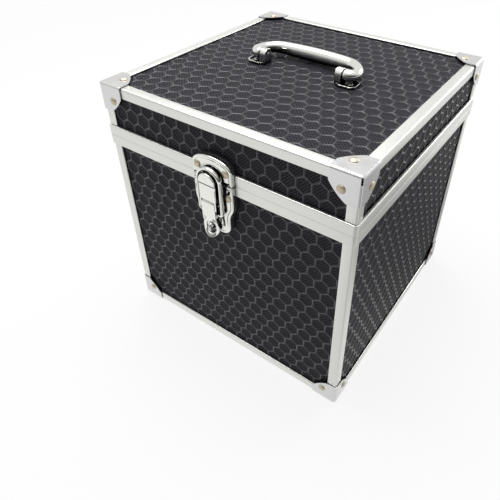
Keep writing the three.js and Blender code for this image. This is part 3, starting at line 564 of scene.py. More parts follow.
# Open-cell polyurethane foam: pores of about half a millimetre
finishes["foam"] = stuff(MATT, "open-cell foam", "#2b2b2e", roughness=1.0, scale=0.9, depth=0.35, sheen=0.15)
print("materials:", len(bpy.data.materials))

# %% [markdown]
# ## The boards
# Each board is fibreboard under black film with raised hexagonal ribs. The ribs are real relief, because
# they are what catches the light. The surface is a honeycomb: every cell is a flat hexagon with rings of
# quads that climb to the shared crest. Cells that run over the board's edge are pressed back onto it.

# %% Honeycomb boards
HEX_PITCH = 12.1
RIB_HEIGHT = 0.45
RIB_OFFSETS = np.array([0.0, 0.28, 0.6, 0.9, 1.15])
RIB_LEVELS = np.array([1.0, 0.84, 0.44, 0.1, 0.0])
RIB_TINTS = np.array([1.0, 0.95, 0.65, 0.15, 0.0])
RINGS = len(RIB_OFFSETS)
FILM_MERGE = 0.02


def honeycomb(width, height):
    """Cells of a hexagon grid whose flat sides stand upright. A corner of ring k lies at (pitch / 2 -
    offset k) over cos 30 degrees from the cell's centre, and is clipped to the board."""
    row_pitch = HEX_PITCH * np.sqrt(3) / 2
    columns = np.arange(-int(width / HEX_PITCH / 2) - 2, int(width / HEX_PITCH / 2) + 3)
    rows = np.arange(-int(height / row_pitch / 2) - 2, int(height / row_pitch / 2) + 3)
    column_grid, row_grid = np.meshgrid(columns, rows)
    across = (column_grid + row_grid % 2 / 2) * HEX_PITCH
    centres = np.stack([across, row_grid * row_pitch], -1).reshape(-1, 1, 1, 2)
    radius = (HEX_PITCH / 2 - RIB_OFFSETS) / np.cos(np.pi / 6)
    flat = centres + radius[None, :, None, None] * circle(6, 30)[None, None]
    return np.clip(flat, (-width / 2, -height / 2), (width / 2, height / 2)).reshape(-1, 2)


def board(node, across, upward, outward, body):
    """A board: the honeycomb on its outer face, a straight edge all round, and a flat back."""
    low, high = node_box(node)
    centre = (low + high) / 2
    across, upward, outward = (np.array(axis, float) for axis in (across, upward, outward))
    width, height, thick = (float(abs(axis) @ (high - low)) for axis in (across, upward, outward))
    flat = honeycomb(width, height)
    cells = len(flat) // (6 * RINGS)
    first = np.arange(cells)[:, None] * 6 * RINGS
    side = np.arange(6)[None, :]
    beside = (side + 1) % 6
    quads = []
    for k in range(RINGS - 1):
        outer, inner = first + 6 * k, first + 6 * (k + 1)
        ring = [outer + side, outer + beside, inner + beside, inner + side]
        quads.append(np.stack(ring, -1).reshape(-1, 4))
    faces = np.concatenate(quads).tolist() + (first + 6 * (RINGS - 1) + side).tolist()
    level, tint = (np.tile(np.repeat(values, 6), cells) for values in (RIB_LEVELS * RIB_HEIGHT, RIB_TINTS))
    rise = level[:, None] - RIB_HEIGHT + thick / 2
    points = centre + flat[:, :1] * across + flat[:, 1:] * upward + rise * outward

    mesh = bpy.data.meshes.new(node)
    mesh.from_pydata((points * MM).tolist(), [], faces)
    mesh.attributes.new("rib", "FLOAT", "POINT").data.foreach_set("value", tint.astype(np.float32))
    work = bmesh.new()
    work.from_mesh(mesh)
    bmesh.ops.remove_doubles(work, verts=work.verts, dist=FILM_MERGE * MM)
    bmesh.ops.dissolve_degenerate(work, edges=work.edges, dist=FILM_MERGE * MM)
    rim = [edge for edge in work.edges if len(edge.link_faces) == 1]
    walls = bmesh.ops.extrude_edge_only(work, edges=rim)["geom"]
    out = Vector(outward)
    back = Vector(centre * MM).dot(out) - thick / 2 * MM
    for corner in walls:
        if isinstance(corner, bmesh.types.BMVert):
            corner.co += out * (back - corner.co.dot(out))
    bmesh.ops.contextual_create(work, geom=[item for item in walls if isinstance(item, bmesh.types.BMEdge)])
    bmesh.ops.recalc_face_normals(work, faces=work.faces)
    grain = work.loops.layers.uv.new("grain")
    for face in work.faces:
        for loop in face.loops:
            place = np.array(loop.vert.co) / MM - centre
            loop[grain].uv = (place @ across, place @ upward)
    film = finishes["laminate"]
    return finish_piece(f"{node}_film", mesh, work, body, [node], film, FILM_TURN)


sides = {
    "front": (X, Z, BACKWARD_Y), "back": (BACKWARD_X, Z, Y),
    "left": (BACKWARD_Y, Z, BACKWARD_X), "right": (Y, Z, X),
}
for half in halves:
    for side, axes in sides.items():
        board(f"{half}_panel_{side}", *axes, half)
board("base_panel_bottom", BACKWARD_X, Y, DOWN, "base")
top_board = board("lid_panel_top", X, Y, Z, "lid")
print("faces on the top board:", len(top_board.data.polygons))

# %% [markdown]
# ## Edge angles
# The edging is extruded aluminium angle. Its free edges are rounded, and that rounding is the thin bright
# line along every bar in the photograph. The section is an L whose corners are filleted, carried along a
# straight line.

# %% Edge angles
ANGLE_LEG, ANGLE_SHEET, ANGLE_ROUND = 8.5, 1.2, 1.5
LEG_TIP_ROUND, LEG_TOE_ROUND, LEG_ROOT_ROUND = 0.85, 0.2, 0.5
ANGLE_END, ANGLE_END_EASE = 0.15, 0.12

angle_corners = [
    (0, 0), (ANGLE_LEG, 0), (ANGLE_LEG, ANGLE_SHEET), (ANGLE_SHEET, ANGLE_SHEET),
    (ANGLE_SHEET, ANGLE_LEG), (0, ANGLE_LEG),
]
angle_radii = [ANGLE_ROUND, LEG_TIP_ROUND, LEG_TOE_ROUND, LEG_ROOT_ROUND, LEG_TOE_ROUND, LEG_TIP_ROUND]
angle_section = filleted(angle_corners, angle_radii, 6)


def angle_bar(node, *planes):
    """The L section between two outer planes of the shell, each given as (axis, sign, place): drawn inwards
    from both and carried along the third axis, with eased ends."""
    low, high = node_box(node)
    along = 3 - planes[0][0] - planes[1][0]
    axes, origin = np.zeros((3, 3)), low.copy()
    for row, (axis, sign, plane) in zip(axes, planes):
        row[axis], origin[axis] = -sign, plane
    axes[2, along] = 1
    length = high[along] - low[along]
    middle = np.array([ANGLE_SHEET / 2, ANGLE_SHEET / 2])
    steps = [(0, ANGLE_END_EASE), (ANGLE_END, 0), (length - ANGLE_END, 0), (length, ANGLE_END_EASE)]
    rings = []
    for place, easing in steps:
        section = angle_section + (middle - angle_section) * easing / ANGLE_LEG
        rings.append(origin + section @ axes[:2] + place * axes[2])
    return piece(f"{node}_bar", loft(rings), node.split("_")[0], "aluminium", [node], sharp=BAR_TURN)


for half, flat in halves.items():
    for end, deep in ends.items():
        for hand, wide in hands.items():
            angle_bar(f"{half}_edge_{end}_{hand}", (0, *wide), (1, *deep))
    level = "bottom" if half == "base" else "top"
    for end, deep in ends.items():
        angle_bar(f"{half}_edge_{level}_{end}", (1, *deep), (2, *flat))
    for hand, wide in hands.items():
        angle_bar(f"{half}_edge_{level}_{hand}", (0, *wide), (2, *flat))
print("edge angles: 16")

# %% [markdown]
# ## The closing bands
# Base and lid meet in two bands, each one extrusion bent round the box. The base's band carries the
# tongue and the lid's band a rebate over it. A section point that lies a millimetres inside the outer
# plane runs along a rectangle that is a smaller all round, so only the outer skin has rounded corners.

# %% Closing bands
BAND_RISE, BAND_ROUND, BAND_SEAM = 1.3, 3.0, 0.06
RAIL_BACK, RAIL_FRONT, WALL_BACK = 7.0, 5.8, 1.2
WEB, LIP_FRONT, LIP_BACK = 2.4, 4.2, 5.4
WEB_UNDER, WEB_OVER = 3.0, 4.4
SOFT_EDGE, SEAM_EDGE, SMALL, WALL_EDGE, LIP_EDGE = 0.9, 0.12, 0.15, 0.3, 0.4


def band(node, section, radii, body):
    """Carries a section (inset, height over the parting line) round the box."""
    section = filleted(section, radii, 4)
    inset, height = section[:, 0], section[:, 1]
    hub = BAND_ROUND - BAND_RISE
    radius = np.maximum(hub - inset, 0)
    centre = np.maximum(inset, hub)
    rings = []
    corner_angles = np.linspace(0, np.pi / 2, 9)
    for quarter, (sign_x, sign_y) in enumerate(((1, 1), (-1, 1), (-1, -1), (1, -1))):
        for angle in corner_angles + quarter * np.pi / 2:
            x = sign_x * (half_width - centre) + radius * np.cos(angle)
            y = sign_y * (half_depth - centre) + radius * np.sin(angle)
            rings.append(np.stack([x, y + middle_y, height + parting], -1))
    return piece(f"{node}_band", loft(rings, closed=True), body, "aluminium", [node], sharp=BAR_TURN)


base_low, base_top, lip_top = base_band_low[2] - parting, -BAND_SEAM, base_band_high[2] - parting
base_section = [
    (-BAND_RISE, base_low), (-BAND_RISE, base_top), (LIP_FRONT, base_top), (LIP_FRONT, lip_top),
    (LIP_BACK, lip_top), (LIP_BACK, base_top), (RAIL_BACK, base_top), (RAIL_BACK, base_low),
    (RAIL_FRONT, base_low), (RAIL_FRONT, -WEB), (WALL_BACK, -WEB), (WALL_BACK, base_low),
]
base_radii = [SOFT_EDGE, SEAM_EDGE, SMALL, LIP_EDGE, LIP_EDGE, SMALL, LIP_EDGE, *[SMALL] * 4, WALL_EDGE]
band("base_rim", base_section, base_radii, "base")

lid_low, lid_top = BAND_SEAM, lid_band_high[2] - parting
rebate = LIP_FRONT - CLEARANCE
lid_section = [
    (-BAND_RISE, lid_top), (WALL_BACK, lid_top), (WALL_BACK, WEB_OVER), (RAIL_FRONT, WEB_OVER),
    (RAIL_FRONT, lid_top), (RAIL_BACK, lid_top), (RAIL_BACK, WEB_UNDER), (rebate, WEB_UNDER),
    (rebate, lid_low), (-BAND_RISE, lid_low),
]
lid_radii = [SOFT_EDGE, WALL_EDGE, SMALL, SMALL, SMALL, LIP_EDGE, SMALL, SMALL, LIP_EDGE, SEAM_EDGE]
band("lid_rim", lid_section, lid_radii, "lid")
print("bands: 2")

# %% [markdown]
# ## Corner caps
# A cap is sheet steel that wraps a corner on three faces. Each face has two legs over the edging, and a
# shallow bow between them. The point (u, v) of a face is first laid on a sharp cube, then moved onto the
# rounded one: the point goes to the ball of the cap's radius whose centre is the nearest point of the
# cube shrunk by that radius. The lid's caps are folded, so they have a seam down the upright edge that
# ends in a small slot.

# %% Shape of a cap
CAP_REACH, CAP_LEG, CAP_BOW, CAP_SHEET = 21.6, 8.6, 42.0, 0.8
CAP_PROUD = CLEARANCE + CAP_SHEET
SLOT_HALF, SLOT_TOP, SLOT_LAST, SLOT_END, SLOT_EASE, SEAM_HALF = 1.2, 1.05, 6.0, 6.2, 0.5, 0.05
FOLD_LINE, FOLD_WIDTH, FOLD_DEPTH = 1.3, 0.3, 0.05
SAME_LINE = 0.01


def cap_face(round_radius, folded):
    """A grid over one face, as (u, v) from the cube's corner. Past the legs, the square becomes a quarter
    disc, (a, b) to (a sqrt(1 - b b / 2), b sqrt(1 - a a / 2)), and the disc's rim is then drawn to the
    shallow bow."""
    leg = CAP_LEG + CAP_PROUD
    lobe = CAP_REACH - CAP_LEG
    fine = np.linspace(0, round_radius, 6)
    fold = [FOLD_LINE - FOLD_WIDTH, FOLD_LINE, FOLD_LINE + FOLD_WIDTH]
    slot = [SLOT_END - SLOT_EASE, SLOT_END]
    lines = np.concatenate([fine, fold, slot, [leg], leg + np.linspace(0, lobe, 11)[1:]])
    u, v = np.meshgrid(np.unique(lines), np.unique(lines), indexing="ij")
    a, b = np.clip((u - leg) / lobe, 0, 1), np.clip((v - leg) / lobe, 0, 1)
    disc_u, disc_v = a * np.sqrt(1 - b * b / 2), b * np.sqrt(1 - a * a / 2)
    angle = np.arctan2(disc_v, disc_u)
    half_chord = lobe / np.sqrt(2)
    centre = lobe / 2 - np.sqrt(CAP_BOW ** 2 - half_chord ** 2) / np.sqrt(2)
    across = centre * (np.cos(angle) + np.sin(angle))
    reach = across + np.sqrt(across ** 2 - 2 * centre ** 2 + CAP_BOW ** 2)
    u = np.where(a > 0, leg + reach * disc_u, u)
    v = np.where(b > 0, leg + reach * disc_v, v)
    if folded:
        in_slot = (v > SLOT_TOP) & (v < SLOT_LAST)
        u = np.maximum(u, np.where(in_slot, SLOT_HALF, np.where(v >= SLOT_LAST, SEAM_HALF, 0.0)))
    return u, v


def cap_shape(round_radius, folded):
    """The three faces, in inward distances from the cube's corner, pressed onto the rounded cube. On a
    folded cap the two upright faces carry a fine line just under the top, where the sheet's edge is
    turned over."""
    faces, points, start = [], [], 0
    for order in ("top", "x", "y"):
        upright = folded and order != "top"
        u, v = cap_face(round_radius, upright)
        pressed = np.where(upright & (np.abs(v - FOLD_LINE) < SAME_LINE), FOLD_DEPTH, 0.0)
        zero = np.zeros_like(u)
        cube = {"top": (u, v, zero), "x": (u, zero, v), "y": (zero, u, v)}[order]
        inward = np.array({"top": Z, "x": Y, "y": X}[order])
        cube = np.stack(cube, -1).reshape(-1, 3)
        core = np.maximum(cube, round_radius)
        points.append(core + unit(cube - core) * round_radius + pressed.reshape(-1, 1) * inward)
        quads = grid_quads(*u.shape, start)
        if order == "x":
            quads = quads[:, ::-1]
        faces += quads.tolist()
        start += u.size
    return np.concatenate(points), faces


# %% Rivets
RIVET_SIDES, RIVET_RIM, RIVET_SUNK, RIVET_FLAT = 28, 0.12, 0.3, 0.97
RIVET_RADIUS, RIVET_RISE = 3.1, 1.3
DOME_SHARES = np.array([0, 0.25, 0.48, 0.67, 0.82, 0.92, 0.98, 1.0])


def rivet(radius, rise):
    """A dome: part of a ball, flattened, on a short upright rim; sunk a little into what it holds."""
    fall = np.sqrt(1 - (RIVET_FLAT * DOME_SHARES) ** 2)
    heights = rise * (RIVET_RIM + (1 - RIVET_RIM) * (fall - fall[-1]) / (1 - fall[-1]))
    radii = np.append(DOME_SHARES * radius, radius)[:, None, None]
    heights = np.append(heights, -RIVET_SUNK)[:, None, None]
    return loft(np.concatenate([radii * circle(RIVET_SIDES), np.repeat(heights, RIVET_SIDES, 1)], 2))


def set_rivet(place, outward, shape):
    """Stands a rivet on a face: turned so that its axis is the outward direction."""
    points, faces, uv = shape
    turn = np.array(Vector(Z).rotation_difference(Vector(outward)).to_matrix())
    return points @ turn.T + place, faces, uv


def rivet_row(places, outward, shape):
    """The same rivet at several places."""
    return join(*[set_rivet(place, outward, shape) for place in places])


rivet_shape = rivet(RIVET_RADIUS, RIVET_RISE)
print("faces on a rivet:", len(rivet_shape[1]))

# %% Corner caps
RIVET_PLACE = 12.3
BASE_CAP_ROUND, LID_CAP_ROUND = 3.2, 1.8
CAP_EASE = 0.18


def corner_cap(half, end, hand, round_radius, folded):
    """A cap on one corner: the rounded faces, given a wall and an eased rim, and a rivet on each open
    face. It is turned inside out where the corner's mirroring has turned its faces inwards."""
    signs, origin = np.array([hands[hand], ends[end], halves[half]]).T
    points, faces = cap_shape(round_radius, folded)
    points = origin + signs * (CAP_PROUD - points)
    node = f"{half}_cap_{end}_{hand}"
    shape = points, faces, blank_map(faces)
    made = piece(f"{node}_shell", shape, half, "cap_steel", [node], sharp=BAR_TURN)
    if np.array(made.data.polygons[0].normal)[2] * signs[2] < 0:
        made.data.flip_normals()
    wall = made.modifiers.new("sheet", "SOLIDIFY")
    wall.thickness = CAP_SHEET * MM
    wall.offset = -1
    ease = made.modifiers.new("eased rim", "BEVEL")
    ease.width = CAP_EASE * MM
    ease.segments = 2
    ease.limit_method = "ANGLE"
    ease.angle_limit = np.radians(BAR_TURN)
    heads = []
    for axis in range(2 if half == "base" else 3):
        outward = np.zeros(3)
        outward[axis] = signs[axis]
        inward = -signs * RIVET_PLACE * (outward == 0)
        heads.append(set_rivet(origin + inward + outward * CAP_PROUD, outward, rivet_shape))
    piece(f"{node}_rivets", join(*heads), half, "fastener")
    return made


for end in ends:
    for hand in hands:
        corner_cap("base", end, hand, BASE_CAP_ROUND, False)
        cap = corner_cap("lid", end, hand, LID_CAP_ROUND, True)
print("faces on a cap before its wall:", len(cap.data.polygons))

# %% [markdown]
# ## Lining and foam
# The base is lined with felt on card, and that node's plain shape is right, so it only takes its
# material. The lid holds egg-crate foam: its depth follows cosine times cosine, which gives staggered
# rounded peaks.

# %% Lining and foam
FOAM_BASE, FOAM_PEAK, FOAM_WAVES, WAVE_STEPS = 10.0, 20.0, 8, 12
FOAM_SOFTNESS = 0.12

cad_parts["base_lining"].material_slots[0].material = felt
foam_low, foam_high = node_box("lid_foam")


def egg_crate():
    """Depth below the back = base + peak (1 + w (1 - softness (1 - w w))) / 2, where w is the wave, one
    cosine across times one upwards. The flat back is one face over the rim."""
    steps = WAVE_STEPS * FOAM_WAVES
    share = np.linspace(0, 1, steps + 1)
    x, y = np.meshgrid(share, share, indexing="ij")
    wave = np.cos(2 * np.pi * FOAM_WAVES * x) * np.cos(2 * np.pi * FOAM_WAVES * y)
    soft = wave * (1 - FOAM_SOFTNESS * (1 - wave ** 2))
    depth = FOAM_BASE + FOAM_PEAK * (1 + soft) / 2
    px = foam_low[0] + (foam_high[0] - foam_low[0]) * x
    py = foam_low[1] + (foam_high[1] - foam_low[1]) * y
    under = np.stack([px, py, foam_high[2] - depth], -1).reshape(-1, 3)
    count = steps + 1
    line = np.arange(steps)
    rim = np.concatenate([line * count, steps * count + line, (steps - line) * count + steps, steps - line])
    top = np.arange(len(rim)) + len(under)
    walls = np.stack([rim, np.roll(rim, -1), np.roll(top, -1), top], -1)
    faces = grid_quads(count, count).tolist() + walls.tolist() + [top.tolist()]
    return np.concatenate([under, lifted(under[rim, :2], foam_high[2])]), faces, blank_map(faces)


foam_pad = piece("egg_crate_pad", egg_crate(), "lid", "foam", ["lid_foam"], sharp=FILM_TURN)
print("faces on the foam:", len(foam_pad.data.polygons))

# %% [markdown]
# ## Hinges
# Two leaf hinges at the back, in zinc plated steel. A knuckle is a ring section turned about the pin: the
# rectangle between bore and outer wall, carried round the axis into a closed sleeve.

# %% Round parts and plates
SLEEVE_EASE, BORE_EASE = 0.25, 0.05
ROD_EASE, PLATE_EASE, EASE_SHARE = 0.3, 0.3, 0.3


def sleeve(centre, start, end, inner, outer, sides=32):
    """A tube along X: the rectangle between the two radii, with eased edges, turned about the axis."""
    corners = [(start, inner), (end, inner), (end, outer), (start, outer)]
    x, radius = filleted(corners, [BORE_EASE, BORE_EASE, SLEEVE_EASE, SLEEVE_EASE], 2).T
    rings = [np.stack([x, centre[1] + radius * c, centre[2] + radius * s], -1) for c, s in circle(sides)]
    return loft(rings, closed=True)


def rod(low, high, radius=None, sides=24):
    """A round bar along X through the middle of a box, with eased ends. Its radius is half the box's
    height, unless it is given."""
    centre = (low + high) / 2
    radius = radius or (high[2] - low[2]) / 2
    ease = min(ROD_EASE, radius / 3)
    start, end = low[0], high[0]
    places = [(start, radius - ease), (start + ease, radius), (end - ease, radius), (end, radius - ease)]
    round_line = circle(sides)
    return loft([np.column_stack([np.full(sides, x), centre[1:] + r * round_line]) for x, r in places])


def rounded_plate(corners, radii, face, axes, origin, edge=PLATE_EASE):
    """A flat plate drawn in two directions and raised along the third, with an eased front edge."""
    ease = edge * EASE_SHARE
    steps = [(0, 0), (0, face - edge), (ease, face - ease), (edge, face)]
    points, faces, uv = loft(raised(filleted(corners, radii, 5), steps))
    return points @ np.array(axes, float) + origin, faces, uv


# %% Hinges
HINGE_PIN, HINGE_BORE, HINGE_OUTER = 1.2, 1.5, 2.9
LEAF_SHEET, LEAF_ROUND, LEAF_CORNER, KNUCKLES = 1.2, 2.5, 0.3, 5
ROOT_EASE, ROOT_OVERLAP = 0.1, 0.3
HINGE_RIVET, HINGE_RIVET_RISE, HINGE_RIVET_PLACE, HINGE_RIVET_OUT = 2.0, 0.9, 0.36, 0.6

for hand in hands:
    pin_low, pin_high = node_box(f"hinge_{hand}_pin")
    axis = (pin_low + pin_high) / 2
    width = pin_high[0] - pin_low[0]
    pitch = width / KNUCKLES
    half_knuckle = (pitch - CLEARANCE) / 2
    back_plane = axis[1] - HINGE_OUTER
    origin = (axis[0], back_plane, axis[2])
    for half, parity, way in (("base", 0, -1), ("lid", 1, 1)):
        node = f"hinge_{hand}_{half}_leaf"
        low, high = node_box(node)
        near = HINGE_OUTER + CLEARANCE
        far = (high[2] - axis[2]) if way > 0 else (axis[2] - low[2])
        outline = [(-width / 2, near), (width / 2, near), (width / 2, far), (-width / 2, far)]
        axes = [(way, 0, 0), (0, 0, way), (0, 1, 0)]
        corners = [LEAF_CORNER, LEAF_CORNER, LEAF_ROUND, LEAF_ROUND]
        parts = [rounded_plate(outline, corners, LEAF_SHEET, axes, origin)]
        for k in range(parity, KNUCKLES, 2):
            centre_x = axis[0] - width / 2 + pitch * (k + 0.5)
            start, end = centre_x - half_knuckle, centre_x + half_knuckle
            parts.append(sleeve(axis, start, end, HINGE_BORE, HINGE_OUTER))
            local = (centre_x - axis[0]) * way
            start, end, top = local - half_knuckle, local + half_knuckle, near + ROOT_OVERLAP
            root = [(start, 0), (end, 0), (end, top), (start, top)]
            parts.append(rounded_plate(root, ROOT_EASE, LEAF_SHEET, axes, origin, ROOT_EASE))
        piece(f"{node}_steel", join(*parts), half, "zinc", [node], merge=FINE_MERGE)
        height = axis[2] + way * (near + far + HINGE_RIVET_OUT) / 2
        middle = np.array([axis[0], back_plane + LEAF_SHEET, height])
        places = middle + np.outer((-1, 0, 1), X) * width * HINGE_RIVET_PLACE
        heads = rivet_row(places, Y, rivet(HINGE_RIVET, HINGE_RIVET_RISE))
        piece(f"{node}_rivets", heads, half, "zinc")
    piece(f"hinge_{hand}_pin_rod", rod(pin_low, pin_high, HINGE_PIN), "base", "zinc", [f"hinge_{hand}_pin"])
print("hinges: 2")

# %% [markdown]
# ## The latch
# Everything on the latch is drawn in (across, up, out): up from the parting line, out from the shell's
# front plane. A plate is its outline, stepped inwards while it rises, so its edge is rolled over like a
# pressing.

# %% Pressings in the latch's directions
LATCH_AXES = np.array([X, Z, BACKWARD_Y], float)
LATCH_ORIGIN = np.array([0, shell_front, parting])
GROOVE_HALF, GROOVE_DEPTH, GROOVE_INSET = 0.4, 0.2, 2.6
PLATE_ROLL, HOLE_EASE = 1.3, 0.3


def to_frame(shape):
    """From the latch's (across, up, out) to the frame."""
    points, faces, uv = shape
    return points @ LATCH_AXES + LATCH_ORIGIN, faces, uv


def pressing(outline, back, face, roll, grooved=False, hole=None):
    """A pressed plate: a rolled edge of the given radius, then maybe a fine groove along the outline. A
    hole is (across, up, radius), and each point of its rim lies on the line from the hole's middle to the
    outline."""
    quarter = np.radians(np.linspace(0, 90, 6))
    steps = [(0, back)] + [(roll * (1 - np.cos(a)), face - roll * (1 - np.sin(a))) for a in quarter]
    if grooved:
        for across, down in ((-GROOVE_HALF, 0), (0, GROOVE_DEPTH), (GROOVE_HALF, 0)):
            steps.append((GROOVE_INSET + across, face - down))
    rings = raised(outline, steps)
    if hole is None:
        return loft(rings)
    spokes = unit(outline - hole[:2])
    for grow, out in ((HOLE_EASE, face), (0, face - HOLE_EASE), (0, back)):
        rings.append(lifted(hole[:2] + spokes * (hole[2] + grow), out))
    return loft(rings, closed=True)


# %% Latch plates
PLATE_BACK, PLATE_FACE, PLATE_HALF, PLATE_CORNER = 1.6, 5.0, 18.2, 1.0
LID_PLATE_RISE, BASE_PLATE_DROP = 19.75, 45.95
SHOULDER_SHARE, PULL_SHARE, CROWN_SHARE = 0.54, 0.81, 0.6
SHOULDER_DROP, WAIST_DROP, FOOT_HALF, FOOT_ROUND = 16.95, 31.95, 14.0, 8.0
HOUSING_HALF, LATCH_FRONT, HOUSING_SHEET, SEAM = 7.6, 11.7, 1.2, 0.16
CATCH_RISE, LIP_DEPTH, LIP_STEP = 9.15, 1.4, 0.9
TAB_SUNK, STEM_ROLL, TAB_ROLL = 0.4, 0.2, 0.8
RIVETS_LID, RIVETS_BASE = (13.05, 10.15), (14.0, -10.35)

shoulder, pull = LID_PLATE_RISE * SHOULDER_SHARE, LID_PLATE_RISE * PULL_SHARE
crown = PLATE_HALF * CROWN_SHARE
corner_x, corner_up = PLATE_HALF - PLATE_CORNER, CLEARANCE + PLATE_CORNER
lid_outline = np.concatenate([
    arc((-corner_x, corner_up), PLATE_CORNER, 180, 270, 3),
    arc((corner_x, corner_up), PLATE_CORNER, 270, 360, 3),
    bezier((PLATE_HALF, shoulder), (PLATE_HALF, pull), (crown, LID_PLATE_RISE), (0, LID_PLATE_RISE)),
    bezier((0, LID_PLATE_RISE), (-crown, LID_PLATE_RISE), (-PLATE_HALF, pull), (-PLATE_HALF, shoulder)),
    [(-PLATE_HALF, shoulder)],
])
hip, ankle = -SHOULDER_DROP, -WAIST_DROP
waist = (hip + ankle) / 2
foot_x, foot_y = FOOT_HALF - FOOT_ROUND, -BASE_PLATE_DROP + FOOT_ROUND
base_outline = np.concatenate([
    arc((corner_x, -corner_up), PLATE_CORNER, 0, 90, 3),
    arc((-corner_x, -corner_up), PLATE_CORNER, 90, 180, 3),
    bezier((-PLATE_HALF, hip), (-PLATE_HALF, waist), (-FOOT_HALF, waist), (-FOOT_HALF, ankle)),
    arc((-foot_x, foot_y), FOOT_ROUND, 180, 270), arc((foot_x, foot_y), FOOT_ROUND, 270, 360),
    bezier((FOOT_HALF, ankle), (FOOT_HALF, waist), (PLATE_HALF, waist), (PLATE_HALF, hip)),
    [(PLATE_HALF, hip)],
])


def tab(half, top, back, face, roll):
    """A tab with a round top, pressed like the plates."""
    outline = np.concatenate([[(-half, SEAM), (half, SEAM)], arc((0, top - half), half, 0, 180, 20)])
    return pressing(outline, back, face, roll)


lip_back = LATCH_FRONT - LIP_DEPTH
stem = (HOUSING_HALF - LIP_STEP, CATCH_RISE - LIP_STEP, PLATE_FACE - TAB_SUNK, lip_back + TAB_SUNK)
lid_parts = [
    pressing(lid_outline, PLATE_BACK, PLATE_FACE, PLATE_ROLL, grooved=True),
    tab(*stem, STEM_ROLL),
    tab(HOUSING_HALF, CATCH_RISE, lip_back, LATCH_FRONT, TAB_ROLL),
]
piece("latch_catch_plate", to_frame(join(*lid_parts)), "lid", "chrome", ["latch_lid_plate"], **FINE)
for body, (across, upward) in (("lid", RIVETS_LID), ("base", RIVETS_BASE)):
    heads = rivet_row(np.array([(-across, upward, PLATE_FACE), (across, upward, PLATE_FACE)]), Z, rivet_shape)
    piece(f"latch_{body}_rivets", to_frame(heads), body, "fastener")
print("points of the base plate's outline:", len(base_outline))

# %% Backing blocks
BOARD_FACE, BACKING_ROLL, SHORTEST_EDGE = 1.5, 0.25, 0.02


def backing_block(outline, low, high):
    """The outline cut to a strip between two heights, filling the space from the board to the plate."""
    cut = np.column_stack([outline[:, 0], np.clip(outline[:, 1], low, high)])
    keep = np.linalg.norm(cut - np.roll(cut, 1, 0), axis=1) > SHORTEST_EDGE
    return to_frame(pressing(cut[keep], CLEARANCE - BOARD_FACE, PLATE_BACK - CLEARANCE, BACKING_ROLL))


upper = backing_block(lid_outline, lid_band_high[2] - parting + CLEARANCE, LID_PLATE_RISE)
lower = backing_block(base_outline, -BASE_PLATE_DROP, base_band_low[2] - parting - CLEARANCE)
piece("latch_upper_backing", upper, "lid", "backing", ["latch_lid_spacer"])
piece("latch_lower_backing", lower, "base", "backing", ["latch_base_spacer"])
print("backing blocks: 2")

# %% [markdown]
# The base plate carries a three-sided housing, whose sides run on as ears for the lever's pin, and the
# staple. The housing is a U section carried downwards, and the staple is a round wire along a bent route.
# It stands in a round hole of the plate, anchored in the black backing, which shows as a dark ring.

# %% Housing and staple
LEVER_PIVOT, LEVER_ROUND, LEVER_SHEET = (8.5, -17.1), 3.2, 0.9
U_SUNK, U_FOOT_ROUND, U_INNER_ROUND, U_OUTER_ROUND = 0.4, 0.1, 0.3, 1.1
TOP_EASE, TOP_RUN, LOW_EASE, LOW_RUN = 0.1, 0.15, 0.12, 0.2
EAR_DROP, EAR_CORNER, EAR_FRONT = 22.2, 1.4, 11.5
STAPLE_UP, STAPLE_WIRE, STAPLE_HALF, STAPLE_END, STAPLE_BEND = -39.05, 1.35, 2.75, 12.0, 2.4
STAPLE_FOOT, STAPLE_HOLE = 1.0, 6.0

pivot_out, pivot_up = LEVER_PIVOT
housing_bottom = pivot_up + LEVER_ROUND + CLEARANCE


def wire(route, radius, normal, sides=16, flatten=1.0):
    """A section carried along a flat route: an ellipse spanned by the route's side and the normal, where
    flatten says how much deeper it is along the normal."""
    route = np.asarray(route, float)
    along = unit(np.gradient(route, axis=0))
    normal = np.broadcast_to(np.array(normal, float), along.shape)
    side = np.cross(normal, along)
    radius, flatten = (
        np.broadcast_to(np.asarray(size, float), len(route))[:, None, None] for size in (radius, flatten)
    )
    cosine, sine = (part[None, :, None] for part in circle(sides).T)
    return loft(route[:, None] + radius * (cosine * side[:, None] + flatten * sine * normal[:, None]))


def cross_plate(outline, low, high):
    """An outline drawn in (out, up), given thickness across the latch."""
    return loft([lifted(outline, x)[:, ::-1] for x in (low, high)])


u_outer, u_inner = HOUSING_HALF, HOUSING_HALF - HOUSING_SHEET
u_front, u_hollow, u_foot = LATCH_FRONT, LATCH_FRONT - HOUSING_SHEET, PLATE_FACE - U_SUNK
u_corners = [
    (-u_outer, u_foot), (-u_inner, u_foot), (-u_inner, u_hollow), (u_inner, u_hollow),
    (u_inner, u_foot), (u_outer, u_foot), (u_outer, u_front), (-u_outer, u_front),
]
u_radii = np.repeat([U_FOOT_ROUND, U_INNER_ROUND, U_FOOT_ROUND, U_OUTER_ROUND], 2)
u_section = filleted(u_corners, u_radii, 5)
housing_steps = [
    (TOP_EASE, -SEAM), (0, -SEAM - TOP_RUN), (0, housing_bottom + LOW_RUN), (LOW_EASE, housing_bottom),
]
housing_rings = [ring[:, [0, 2, 1]] for ring in raised(u_section, housing_steps)]
ear_outline = np.concatenate([
    [(u_foot, housing_bottom + SEAM), (u_foot, -EAR_DROP)],
    arc((EAR_FRONT - EAR_CORNER, EAR_CORNER - EAR_DROP), EAR_CORNER, -90, 0, 6),
    [(EAR_FRONT, housing_bottom + SEAM)],
])
staple_high, staple_low = STAPLE_UP + STAPLE_HALF, STAPLE_UP - STAPLE_HALF
staple_corners = [
    (0, staple_high, STAPLE_FOOT), (0, staple_high, STAPLE_END),
    (0, staple_low, STAPLE_END), (0, staple_low, STAPLE_FOOT),
]
